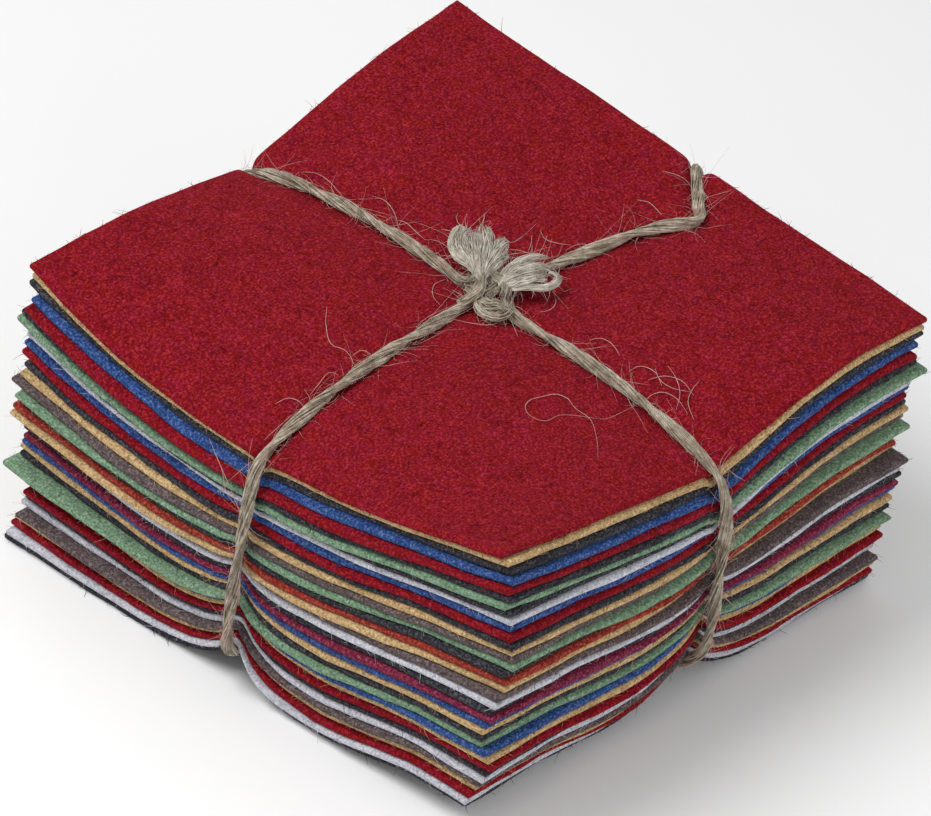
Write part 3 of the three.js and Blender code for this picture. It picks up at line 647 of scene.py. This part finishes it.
def felt_sheet(sheet, material):
    index = sheet.index
    lines = grid_lines(TOP_FINENESS if index in (0, SHEETS - 1) else 1.0)
    count = len(lines)
    t, s = np.meshgrid(lines, lines, indexing="ij")
    faces_points = [sheet.point(s, t, rim_profile(share), share).reshape(-1, 3) for share in (0.0, 1.0)]
    around = rim_order(count)
    rim_s, rim_t = lines[around[:, 0]], lines[around[:, 1]]
    shares = (1 - np.cos(np.pi * np.arange(1, RIM_ROWS) / RIM_ROWS)) / 2
    rim_rows = [sheet.point(rim_s, rim_t, rim_profile(share), share) for share in shares]
    points = np.concatenate(faces_points + rim_rows)
    cell = np.arange(count * count).reshape(count, count)
    quads = np.stack((cell[:-1, :-1], cell[:-1, 1:], cell[1:, 1:], cell[1:, :-1]), axis=-1).reshape(-1, 4)
    upper_rim = around[:, 1] * count + around[:, 0]
    first = 2 * count * count
    middle = [first + row * len(around) + np.arange(len(around)) for row in range(RIM_ROWS - 1)]
    rows = [upper_rim, *middle, upper_rim + count * count]
    sides = [np.stack((low, np.roll(low, -1), np.roll(high, -1), high), axis=-1)
             for high, low in zip(rows, rows[1:])]
    faces = np.concatenate([quads, quads[:, ::-1] + count * count, *sides])
    return make_piece("square_" + node_name(index)[5:], points, faces.tolist(), material)


# Strands: bars of a few sides bent along many paths at once

def unit(vectors):
    return vectors / np.maximum(np.linalg.norm(vectors, axis=-1, keepdims=True), 1e-9)


def side_directions(paths):
    """A direction square to each path, carried along it without twisting."""
    tangents = unit(np.gradient(paths, axis=1))
    sides = np.empty_like(paths)
    start = np.where(np.abs(tangents[:, :1, 2:]) > 0.8, (1.0, 0.0, 0.0), (0.0, 0.0, 1.0))[:, 0]
    side = unit(np.cross(tangents[:, 0], start))
    for i in range(paths.shape[1]):
        tangent = tangents[:, i]
        side = unit(side - (side * tangent).sum(-1, keepdims=True) * tangent)
        sides[:, i] = side
    return sides, np.cross(tangents, sides)


def strands(name, paths, radii, material):
    """One piece made of a bar along each path. radii has the radius at each point."""
    sides = STRAND_SIDES
    count, steps = paths.shape[:2]
    side, up = side_directions(paths)
    angles = 2 * np.pi * np.arange(sides) / sides
    ring = side[:, :, None] * np.cos(angles)[:, None] + up[:, :, None] * np.sin(angles)[:, None]
    points = (paths[:, :, None] + radii[:, :, None, None] * ring).reshape(-1, 3)
    lengths = np.linalg.norm(np.diff(paths, axis=1), axis=-1)
    along = np.concatenate((np.zeros((count, 1)), np.cumsum(lengths, axis=1)), axis=1)
    along = along + STREAK_SHIFT * np.arange(count)[:, None]
    around = np.broadcast_to(np.arange(sides) / sides, (count, steps, sides))
    uvs = np.stack((np.broadcast_to(along[:, :, None], around.shape), around), axis=-1).reshape(-1, 2)
    index = np.arange(count * steps * sides).reshape(count, steps, sides)
    here, there = index[:, :-1], index[:, 1:]
    quads = np.stack((here, np.roll(here, -1, 2), np.roll(there, -1, 2), there), axis=-1).reshape(-1, 4)
    caps = index[:, 0, ::-1].tolist() + index[:, -1].tolist()
    return make_piece(name, points, quads.tolist() + caps, material, uvs)


def curve_through(points, step):
    """Rows a fixed step apart on a smooth curve through the given ones, whose first three
    columns are places."""
    p = np.asarray(points, float)
    p = np.concatenate((2 * p[:1] - p[1:2], p, 2 * p[-1:] - p[-2:-1]))
    gaps = np.sqrt(np.maximum(np.linalg.norm(np.diff(p[:, :3], axis=0), axis=1), 1e-6))
    knots = np.concatenate(((0.0,), np.cumsum(gaps)))
    fine = []
    for i in range(1, len(p) - 2):
        t = np.linspace(knots[i], knots[i + 1], CURVE_SAMPLES, endpoint=False)[:, None]
        k = knots[i - 1:i + 3]
        rows = list(p[i - 1:i + 3])
        for span in (1, 2):
            rows = [((k[j + span] - t) * a + (t - k[j]) * b) / (k[j + span] - k[j])
                    for j, (a, b) in enumerate(zip(rows, rows[1:]))]
        fine.append(((k[2] - t) * rows[0] + (t - k[1]) * rows[1]) / (k[2] - k[1]))
    fine = np.concatenate((*fine, p[-2:-1]))
    steps = np.linalg.norm(np.diff(fine[:, :3], axis=0), axis=1)
    lengths = np.concatenate(((0.0,), np.cumsum(steps)))
    places = np.linspace(0.0, lengths[-1], max(4, round(lengths[-1] / step) + 1))
    return np.stack([np.interp(places, lengths, column) for column in fine.T], axis=1)


# Camera and the places that its pixels show

def camera_axes():
    """Directions to the right, up and back in the camera's view."""
    level = math.cos(CAMERA_ELEVATION)
    back = np.array((math.sin(CAMERA_AZIMUTH) * level, -math.cos(CAMERA_AZIMUTH) * level,
                     math.sin(CAMERA_ELEVATION)))
    right = unit(np.cross(-back, (0.0, 0.0, 1.0)))
    up = np.cross(right, -back)
    c, s = math.cos(CAMERA_ROLL), math.sin(CAMERA_ROLL)
    return right * c + up * s, up * c - right * s, back


RIGHT, UP, BACK = camera_axes()
CAMERA_PLACE = CAMERA_TARGET + BACK * CAMERA_DISTANCE


def on_plane(px, py, axis, place):
    """The point that shows at a pixel of the photograph, on the plane at this place on an axis."""
    ray = (px - PHOTO_WIDTH / 2) / FOCAL_PIXELS * RIGHT - (py - PHOTO_HEIGHT / 2) / FOCAL_PIXELS * UP - BACK
    return CAMERA_PLACE + ray * (place - CAMERA_PLACE[axis]) / ray[axis]


def at_pixel(px, py, height):
    return on_plane(px, py, 2, height)


def on_top(px, py, lift):
    """The point this far above the top sheet that shows at a pixel of the photograph."""
    height = CENTRE_TOP + lift
    for _ in range(6):
        place = at_pixel(px, py, height)
        height = float(layer_height(0.0, place[0], place[1])) + lift
    return at_pixel(px, py, height)


def on_side(px, py, name, out):
    """The point this far outside the nominal square's side that shows at a pixel."""
    axis, place = {"front_left": (1, -HALF - out), "front_right": (0, HALF + out)}[name]
    return on_plane(px, py, axis, place)


def add_camera():
    data = bpy.data.cameras.new("photo_camera")
    data.sensor_fit = "HORIZONTAL"
    data.sensor_width = SENSOR_WIDTH
    data.lens = FOCAL_PIXELS * SENSOR_WIDTH / PHOTO_WIDTH
    data.clip_end = CAMERA_REACH
    camera = bpy.data.objects.new("photo_camera", data)
    turn = Matrix((RIGHT, UP, BACK)).transposed().to_4x4()
    camera.matrix_world = Matrix.Translation(Vector((CAMERA_PLACE + SHIFT) * MM)) @ turn
    bpy.context.scene.collection.objects.link(camera)
    bpy.context.scene.camera = camera


# Twine

def top_points(name):
    run = np.array(TOP_RUNS[name])
    heights = layer_height(0.0, run[:, 0], run[:, 1]) + TWINE_RADIUS - TWINE_SINK
    heights[0] += KNOT_RISE
    return [(x, y, z) for (x, y), z in zip(run, heights)]


def side_points(name):
    s, t = CROSSINGS[name]
    return [(s * (HALF + away) + abs(t) * along, t * (HALF + away) + abs(s) * along, z)
            for away, along, z in SIDE_RUNS[name]]


def under_points(name):
    run = np.array(UNDER_RUNS[name], float)
    zero = np.zeros(len(run))
    if name == "along_x":
        heights = groove_height(run[:, 0], zero)
    else:
        heights = groove_height(zero, run[:, 1])
        heights = heights - 2 * TWINE_RADIUS * np.maximum(1 - np.abs(run[:, 1]) / DIP_LENGTH, 0.0)
    return [(x, y, z - TWINE_RADIUS) for (x, y), z in zip(run, heights)]


def loop_points(out, under, back):
    """A whole turn of twine: out from the knot, down, under, up the other side and back."""
    points = top_points(out) + side_points(out) + under_points(under)
    return points + side_points(back)[::-1] + top_points(back)[::-1]


def twisted(path, random):
    """Paths and radii of the yarn strands of two plies twisted along one line."""
    side, up = (direction[0] for direction in side_directions(path[None]))
    along = np.concatenate(((0.0,), np.cumsum(np.linalg.norm(np.diff(path, axis=0), axis=1))))
    paths, radii = [], []
    wander = 0.5 * np.sin(along / 17.0 + random.uniform(0, 6)) + 0.3 * np.sin(along / 7.3)
    for ply in range(2):
        turn = 2 * np.pi * along / TWIST_LENGTH + np.pi * ply + wander
        middle = PLY_OFFSET * (np.cos(turn)[:, None] * side + np.sin(turn)[:, None] * up)
        for count, offset, thickness in PLY_LAYERS:
            for strand in range(count):
                phase = 2 * np.pi * (strand + random.uniform(-0.35, 0.35)) / count
                angle = phase + 2 * np.pi * along / STRAND_TWIST + 0.5 * np.sin(along / 9.0 + 5 * phase)
                reach = offset * (1 + 0.18 * np.sin(along / 6.1 + 9 * phase))
                around = np.cos(angle)[:, None] * side + np.sin(angle)[:, None] * up
                paths.append(path + middle + reach[:, None] * around)
                uneven = 1 + 0.3 * np.sin(along / 4.3 + 7 * phase)
                radii.append(thickness * random.uniform(0.8, 1.2) * uneven)
    return paths, radii


def twine_piece(name, points, material, random):
    path = curve_through(points, TWINE_STEP)
    paths, radii = twisted(path, random)
    return path, strands(name, np.array(paths), np.array(radii), material)


# Fibres

def guide_line(guide):
    """A bundle's smooth line, with its half width in the fourth column."""
    return curve_through([(*at_pixel(px, py, height), width) for px, py, height, width in guide], GUIDE_STEP)


def lock(guide, count, thickness, random, spread=1.0):
    """Paths and radii of fibres that follow one guide and fan out to its half width."""
    line = guide_line(guide)
    tangents = unit(np.gradient(line[:, :3], axis=0))
    side = unit(np.cross(tangents, (0.0, 0.0, 1.0)))
    columns = np.concatenate((line, side, np.cross(side, tangents)), axis=1).T
    share = np.linspace(0.0, 1.0, len(line))
    step = np.linspace(0.0, 1.0, LOCK_POINTS)
    first, last = random.uniform(0.0, 0.12, (count, 1)), random.uniform(0.80, 1.0, (count, 1))
    places = first + (last - first) * step
    at = np.stack([np.interp(places, share, column) for column in columns], axis=-1)
    turn = random.uniform(0, 2 * np.pi, (count, 1))
    angle = turn + 0.6 * np.sin(4 * places + random.uniform(0, 6, (count, 1)))
    reach = spread * np.sqrt(random.uniform(0, 1, (count, 1))) * at[..., 3]
    reach = reach * (1 + 0.12 * np.sin(9 * places + random.uniform(0, 6, (count, 1))))
    across, over = reach * np.cos(angle), LOCK_FLATNESS * reach * np.sin(angle)
    paths = at[..., :3] + across[..., None] * at[..., 4:7] + over[..., None] * at[..., 7:10]
    radii = thickness * random.uniform(0.7, 1.3, (count, 1)) * (1 - 0.55 * step ** 3)
    return paths, radii


def bundles(name, guides, fibres, thickness, material, random):
    """One piece made of a bundle of fibres along each guide, with thicker ones inside."""
    made = [lock(guide, fibres, thickness, random) for guide in guides]
    made += [lock(guide, CORE_FIBRES, CORE_RADIUS, random, CORE_SPREAD) for guide in guides]
    paths, radii = (np.concatenate(part) for part in zip(*made))
    return strands(name, paths, radii, material)


def curved_fibres(roots, directions, bends, lengths, thickness, points):
    """Tapered fibres that leave their roots in one direction and bend in another."""
    t = np.linspace(0.0, 1.0, points)[:, None]
    lengths = lengths[:, None, None]
    paths = roots[:, None] + lengths * (t * directions[:, None] + t ** 2 * bends[:, None])
    paths[..., 2] = np.maximum(paths[..., 2], FLOOR_CLEAR)
    radii = thickness[:, None] * (1 - 0.7 * t[:, 0])
    return paths, radii


def rest_on_top(paths):
    """Lifts what would pass through the top sheet to just above it."""
    x, y, z = np.moveaxis(paths, -1, 0)
    over_stack = (np.maximum(np.abs(x), np.abs(y)) < HALF - FREE_RIM) & (z > CENTRE_TOP / 2)
    least = layer_height(0.0, x, y) + TOP_CLEAR
    return np.stack((x, y, np.where(over_stack, np.maximum(z, least), z)), axis=-1)


def edge_fibres(sheet, random):
    """Fibres that stand out of a sheet's cut sides and lie over them."""
    count = EDGE_FIBRES
    side = random.integers(0, 4, count)
    along, share = random.uniform(-1, 1, count), random.uniform(0.06, 0.94, count)
    end = np.where(side < 2, -1.0, 1.0)
    across_x = side % 2 == 0
    s, t = np.where(across_x, end, along), np.where(across_x, along, end)
    roots = sheet.point(s, t, rim_profile(share) - 0.1, share)
    none = np.zeros(count)
    outward = np.stack((np.where(across_x, end, 0.0), np.where(across_x, 0.0, end), none), axis=1)
    sideways = outward[:, (1, 0, 2)] * random.choice((-1.0, 1.0), (count, 1))
    upward = np.stack((none, none, random.normal(0, 0.45, count)), axis=1)
    directions = unit(outward * random.uniform(0.15, 0.75, (count, 1)) + sideways * 0.8 + upward)
    bends = random.normal(0, FUZZ_BEND, (count, 3)) - 0.25 * outward
    return roots, directions, bends, random.uniform(*EDGE_FIBRE_LENGTH, count)


def nap_fibres(random):
    """Fibres that lie on the top sheet."""
    x, y = random.uniform(-HALF + 1, HALF - 1, (2, NAP_FIBRES))
    roots = np.stack((x, y, layer_height(0.0, x, y) + 0.02), axis=1)
    turn = random.uniform(0, 2 * np.pi, NAP_FIBRES)
    rise = random.uniform(*NAP_RISE, NAP_FIBRES)
    directions = np.stack((np.cos(turn), np.sin(turn), rise), axis=1)
    bends = random.normal(0, FUZZ_BEND, (NAP_FIBRES, 3)) * (1.0, 1.0, 0.0)
    bends[:, 2] = -rise
    return roots, directions, bends, random.uniform(*NAP_LENGTH, NAP_FIBRES)


def fuzz(name, groups, material, random):
    """One piece made of the loose fibres of one felt."""
    roots, directions, bends, lengths = (np.concatenate(part) for part in zip(*groups))
    thickness = random.uniform(*FUZZ_RADIUS, len(roots))
    paths, radii = curved_fibres(roots, directions, bends, lengths, thickness, FUZZ_POINTS)
    return strands(name, paths, radii, material)


def hair_piece(name, roots, directions, length, material, random):
    """One piece made of loose jute fibres, with their points kept above the top sheet."""
    bends = random.normal(0, HAIR_BEND, roots.shape)
    lengths = random.uniform(*length, len(roots))
    thickness = random.uniform(*HAIR_RADIUS, len(roots))
    paths, radii = curved_fibres(roots, directions, bends, lengths, thickness, HAIR_POINTS)
    return strands(name, rest_on_top(paths), radii, material)


def hairs(name, path, material, random):
    """Loose fibres that leave a run of twine, but for its hidden part under the stack."""
    shown = np.flatnonzero(path[:, 2] > HAIRS_ABOVE)
    shown = shown[(shown > 1) & (shown < len(path) - 2)]
    start = random.choice(shown, TWINE_HAIRS)
    tangents = unit(path[start + 1] - path[start - 1]) * random.choice((-1.0, 1.0), (TWINE_HAIRS, 1))
    away = unit(np.cross(tangents, random.normal(size=(TWINE_HAIRS, 3))))
    roots = path[start] + 0.85 * TWINE_RADIUS * away
    directions = unit(tangents + random.uniform(0.2, 0.9, (TWINE_HAIRS, 1)) * away)
    return hair_piece(name, roots, directions, HAIR_LENGTH, material, random)


def wisps(name, guides, material, random):
    """Short loose fibres that leave the bundles, which make them look soft."""
    roots, directions = [], []
    for guide in guides:
        line = guide_line(guide)
        start = random.integers(2, len(line) - 1, WISPS)
        tangents = unit(line[start, :3] - line[start - 1, :3])
        away = unit(np.cross(tangents, random.normal(size=(WISPS, 3))))
        roots.append(line[start, :3] + 0.6 * line[start, 3:] * away)
        directions.append(unit(tangents * random.uniform(-0.3, 1.0, (WISPS, 1)) + 0.6 * away))
    return hair_piece(name, np.concatenate(roots), np.concatenate(directions), WISP_LENGTH, material, random)


def stray_fibres(name, material):
    """The long loose fibres that the photograph shows on the top and the visible sides."""
    lines = [[on_top(px, py, STRAY_LIFT) for px, py in pixels] for pixels in TOP_STRAYS]
    for side, strays in SIDE_STRAYS.items():
        lines += [[on_side(px, py, side, STRAY_OUT) for px, py in pixels] for pixels in strays]
    curves = [curve_through(line, STRAY_STEP) for line in lines]
    longest = max(len(curve) for curve in curves)
    spots = np.linspace(0.0, 1.0, longest)
    paths = np.array([[np.interp(spots, np.linspace(0.0, 1.0, len(curve)), column) for column in curve.T]
                      for curve in curves]).transpose(0, 2, 1)
    taper = 1 - 0.6 * np.abs(2 * spots - 1) ** 2
    return strands(name, paths, np.tile(STRAY_RADIUS * taper, (len(paths), 1)), material)


# Materials

def linear(colour):
    """A colour given as it looks on a screen, in Blender's linear values."""
    c = np.array(colour) / 255.0
    return (*np.where(c <= 0.04045, c / 12.92, ((c + 0.055) / 1.055) ** 2.4), 1.0)


class Graph:
    """Adds shader nodes to one new material."""

    def __init__(self, name):
        self.material = bpy.data.materials.new(name)
        self.material.use_nodes = True
        self.tree = self.material.node_tree
        self.tree.nodes.clear()

    def add(self, kind, settings=None, **inputs):
        node = self.tree.nodes.new("ShaderNode" + kind)
        for name, value in (settings or {}).items():
            setattr(node, name, value)
        for name, value in inputs.items():
            socket = node.inputs[int(name[1:])] if name[1:].isdigit() else node.inputs[name.replace("_", " ")]
            if isinstance(value, bpy.types.NodeSocket):
                self.tree.links.new(value, socket)
            else:
                socket.default_value = value
        return node

    def math(self, operation, a, b, c=0.0):
        return self.add("Math", {"operation": operation}, i0=a, i1=b, i2=c).outputs[0]

    def noise(self, vector, scale, detail=3.0, roughness=0.6, distortion=0.0):
        node = self.add("TexNoise", None, Vector=vector, Scale=scale, Detail=detail,
                        Roughness=roughness, Distortion=distortion)
        return node.outputs["Fac"]

    def stretched(self, vector, turn, scale, **noise):
        """Noise drawn out along one direction, as fibres lie."""
        mapping = self.add("Mapping", None, Vector=vector, Rotation=turn, Scale=scale)
        return self.noise(mapping.outputs["Vector"], 1.0, **noise)

    def ramp(self, value, stops):
        node = self.add("ValToRGB", None, Fac=value)
        elements = node.color_ramp.elements
        stops = list(stops)
        while len(elements) < len(stops):
            elements.new(0.5)
        for element, (position, colour) in zip(elements, stops):
            element.position = position
            element.color = colour
        return node.outputs["Color"]

    def finish(self, **inputs):
        shader = self.add("BsdfPrincipled", None, **inputs)
        self.add("OutputMaterial", None, Surface=shader.outputs["BSDF"])
        return self.material


def felt_material(name):
    """Heathered wool felt: specks of dark and light wool, matted fibres and clouds of hue."""
    heather, main, fibre = (linear(colour) for colour in FELTS[name])
    graph = Graph("felt_" + name)
    place = graph.add("TexCoord").outputs["Object"]
    specks = graph.noise(place, 1900.0, detail=2.0, roughness=0.6)
    lying = graph.stretched(place, (0.2, 0.1, 0.6), (2600.0, 700.0, 1800.0), detail=2.0, distortion=0.6)
    crossing = graph.stretched(place, (0.1, 0.3, -0.9), (2900.0, 800.0, 1700.0), detail=2.0, distortion=0.6)
    fibres = graph.math("MULTIPLY", graph.math("ADD", lying, crossing), 0.5)
    tone = graph.math("ADD", graph.math("MULTIPLY", specks, 0.62), graph.math("MULTIPLY", fibres, 0.38))
    wool = graph.ramp(tone, zip(WOOL_STOPS, (heather, main, fibre)))
    hue_clouds = graph.noise(place, 420.0, detail=4.0, roughness=0.65)
    dark_clouds = graph.noise(place, 170.0, detail=5.0, roughness=0.7)
    colour = graph.add("HueSaturation", None, Color=wool, Fac=1.0,
                       Hue=graph.math("MULTIPLY_ADD", hue_clouds, HUE_SPREAD, 0.5 - HUE_SPREAD / 2),
                       Saturation=1.0,
                       Value=graph.math("MULTIPLY_ADD", dark_clouds, CLOUD_DEPTH, 1.0 - CLOUD_DEPTH / 2))
    relief = graph.math("ADD", fibres, graph.math("MULTIPLY", specks, 0.9))
    bump = graph.add("Bump", None, Height=relief, Strength=0.7, Distance=0.0004)
    return graph.finish(Base_Color=colour.outputs["Color"], Normal=bump.outputs["Normal"], Roughness=0.95,
                        Specular_IOR_Level=0.1, Sheen_Weight=0.12, Sheen_Roughness=0.6, Sheen_Tint=fibre)


def jute_material(name, colours):
    """Jute yarn: pale and dark fibres running along each strand. For the frayed ends and the loose fibres
    these colours are partly painted light.
    """
    graph = Graph(name)
    coordinates = graph.add("TexCoord")
    streaks = graph.stretched(coordinates.outputs["UV"], (0.0, 0.0, 0.0), (0.22, 7.0, 1.0), detail=4.0,
                              roughness=0.65)
    patches = graph.noise(coordinates.outputs["Object"], 420.0, detail=2.0)
    blend = graph.math("ADD", graph.math("MULTIPLY", streaks, 0.65), graph.math("MULTIPLY", patches, 0.35))
    colour = graph.ramp(blend, zip(JUTE_STOPS, (linear(colour) for colour in colours)))
    bump = graph.add("Bump", None, Height=streaks, Strength=0.6, Distance=0.0003)
    return graph.finish(Base_Color=colour, Normal=bump.outputs["Normal"], Roughness=0.72,
                        Specular_IOR_Level=0.35, Sheen_Weight=0.15, Sheen_Roughness=0.5)


def floor_material():
    graph = Graph("pale_floor")
    place = graph.add("TexCoord").outputs["Object"]
    tone = graph.noise(place, 3.0, detail=2.0)
    low, high = ((grey, grey, grey, 1.0) for grey in FLOOR_GREYS)
    colour = graph.ramp(tone, ((0.3, low), (0.7, high)))
    return graph.finish(Base_Color=colour, Roughness=0.9, Specular_IOR_Level=0.1)


# Stage

def add_floor():
    mesh = bpy.data.meshes.new("floor")
    far = FLOOR_REACH
    mesh.from_pydata([(-far, -far, 0), (far, -far, 0), (far, far, 0), (-far, far, 0)], [], [(0, 1, 2, 3)])
    mesh.materials.append(floor_material())
    floor = bpy.data.objects.new("floor", mesh)
    bpy.context.scene.collection.objects.link(floor)


def add_area_light(name, azimuth, elevation, distance, size, power):
    data = bpy.data.lights.new(name, "AREA")
    data.shape = "DISK"
    data.size = size
    data.energy = power
    light = bpy.data.objects.new(name, data)
    a, e = math.radians(azimuth), math.radians(elevation)
    away = Vector((math.sin(a) * math.cos(e), -math.cos(a) * math.cos(e), math.sin(e)))
    light.location = away * distance
    light.rotation_euler = away.to_track_quat("Z", "Y").to_euler()
    bpy.context.scene.collection.objects.link(light)


def add_light():
    world = bpy.data.worlds.new("studio")
    world.use_nodes = True
    background = world.node_tree.nodes["Background"]
    background.inputs["Color"].default_value = (1.0, 1.0, 1.0, 1.0)
    background.inputs["Strength"].default_value = WORLD_STRENGTH
    bpy.context.scene.world = world
    add_area_light("key_light", *KEY_LIGHT)
    add_area_light("fill_light", *FILL_LIGHT)
    bpy.context.scene.view_settings.view_transform = "Standard"


# Build

add_camera()
add_floor()
add_light()

felt_looks = {name: felt_material(name) for name in FELTS}
twine_look = jute_material("jute_twine", TWINE_COLOURS)
# The frayed ends' look holds painted highlight and painted shade in its colours
frayed_look_with_painted_light = jute_material("jute_frayed_with_painted_light", FRAYED_COLOURS_AND_PAINTED_LIGHT)
# The loose fibres' look: its pink and pale tint is painted highlight
stray_look_with_painted_highlight = jute_material("jute_stray_with_painted_highlight", STRAY_COLOURS_WITH_PAINTED_HIGHLIGHT)

sheets = [Sheet(i) for i in range(SHEETS)]
squares = [felt_sheet(sheet, felt_looks[SQUARES[sheet.index][0]]) for sheet in sheets]
for i, square in enumerate(squares):
    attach(square, "root")
    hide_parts(node_name(i))

fuzz_random = np.random.default_rng(SEED + 1)
for felt in FELTS:
    groups = [edge_fibres(sheet, fuzz_random) for sheet in sheets if SQUARES[sheet.index][0] == felt]
    if felt == SQUARES[0][0]:
        groups.append(nap_fibres(fuzz_random))
    loose = fuzz("loose_wool_" + felt, groups, felt_looks[felt], fuzz_random)
    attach(loose, "root")

jute_random = np.random.default_rng(SEED)
jute_pieces = []
for name, out, under, back in (
    ("twine_along_x", "front_right", "along_x", "back_left"),
    ("twine_along_y", "back_right", "along_y", "front_left"),
):
    path, twine = twine_piece(name + "_yarn", loop_points(out, under, back), twine_look, jute_random)
    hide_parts(name)
    jute_pieces += [twine, hairs(name + "_hairs", path, stray_look_with_painted_highlight, jute_random)]

knot = bundles("knot_yarn", KNOT_BUNDLES, KNOT_FIBRES, KNOT_FIBRE_RADIUS, twine_look, jute_random)
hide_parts("knot")
left_end = bundles("frayed_left_locks", LEFT_LOCKS, LOCK_FIBRES, LOCK_RADIUS, frayed_look_with_painted_light, jute_random)
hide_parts("frayed_end_left")
right_end = bundles("frayed_right_locks", RIGHT_LOCKS, LOCK_FIBRES, LOCK_RADIUS, frayed_look_with_painted_light, jute_random)
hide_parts("frayed_end_right")
loose_ends = wisps("knot_wisps", KNOT_BUNDLES + LEFT_LOCKS + RIGHT_LOCKS, frayed_look_with_painted_light, jute_random)
jute_pieces += [knot, left_end, right_end, loose_ends, stray_fibres("stray_fibres", stray_look_with_painted_highlight)]
for piece in jute_pieces:
    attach(piece, "root")
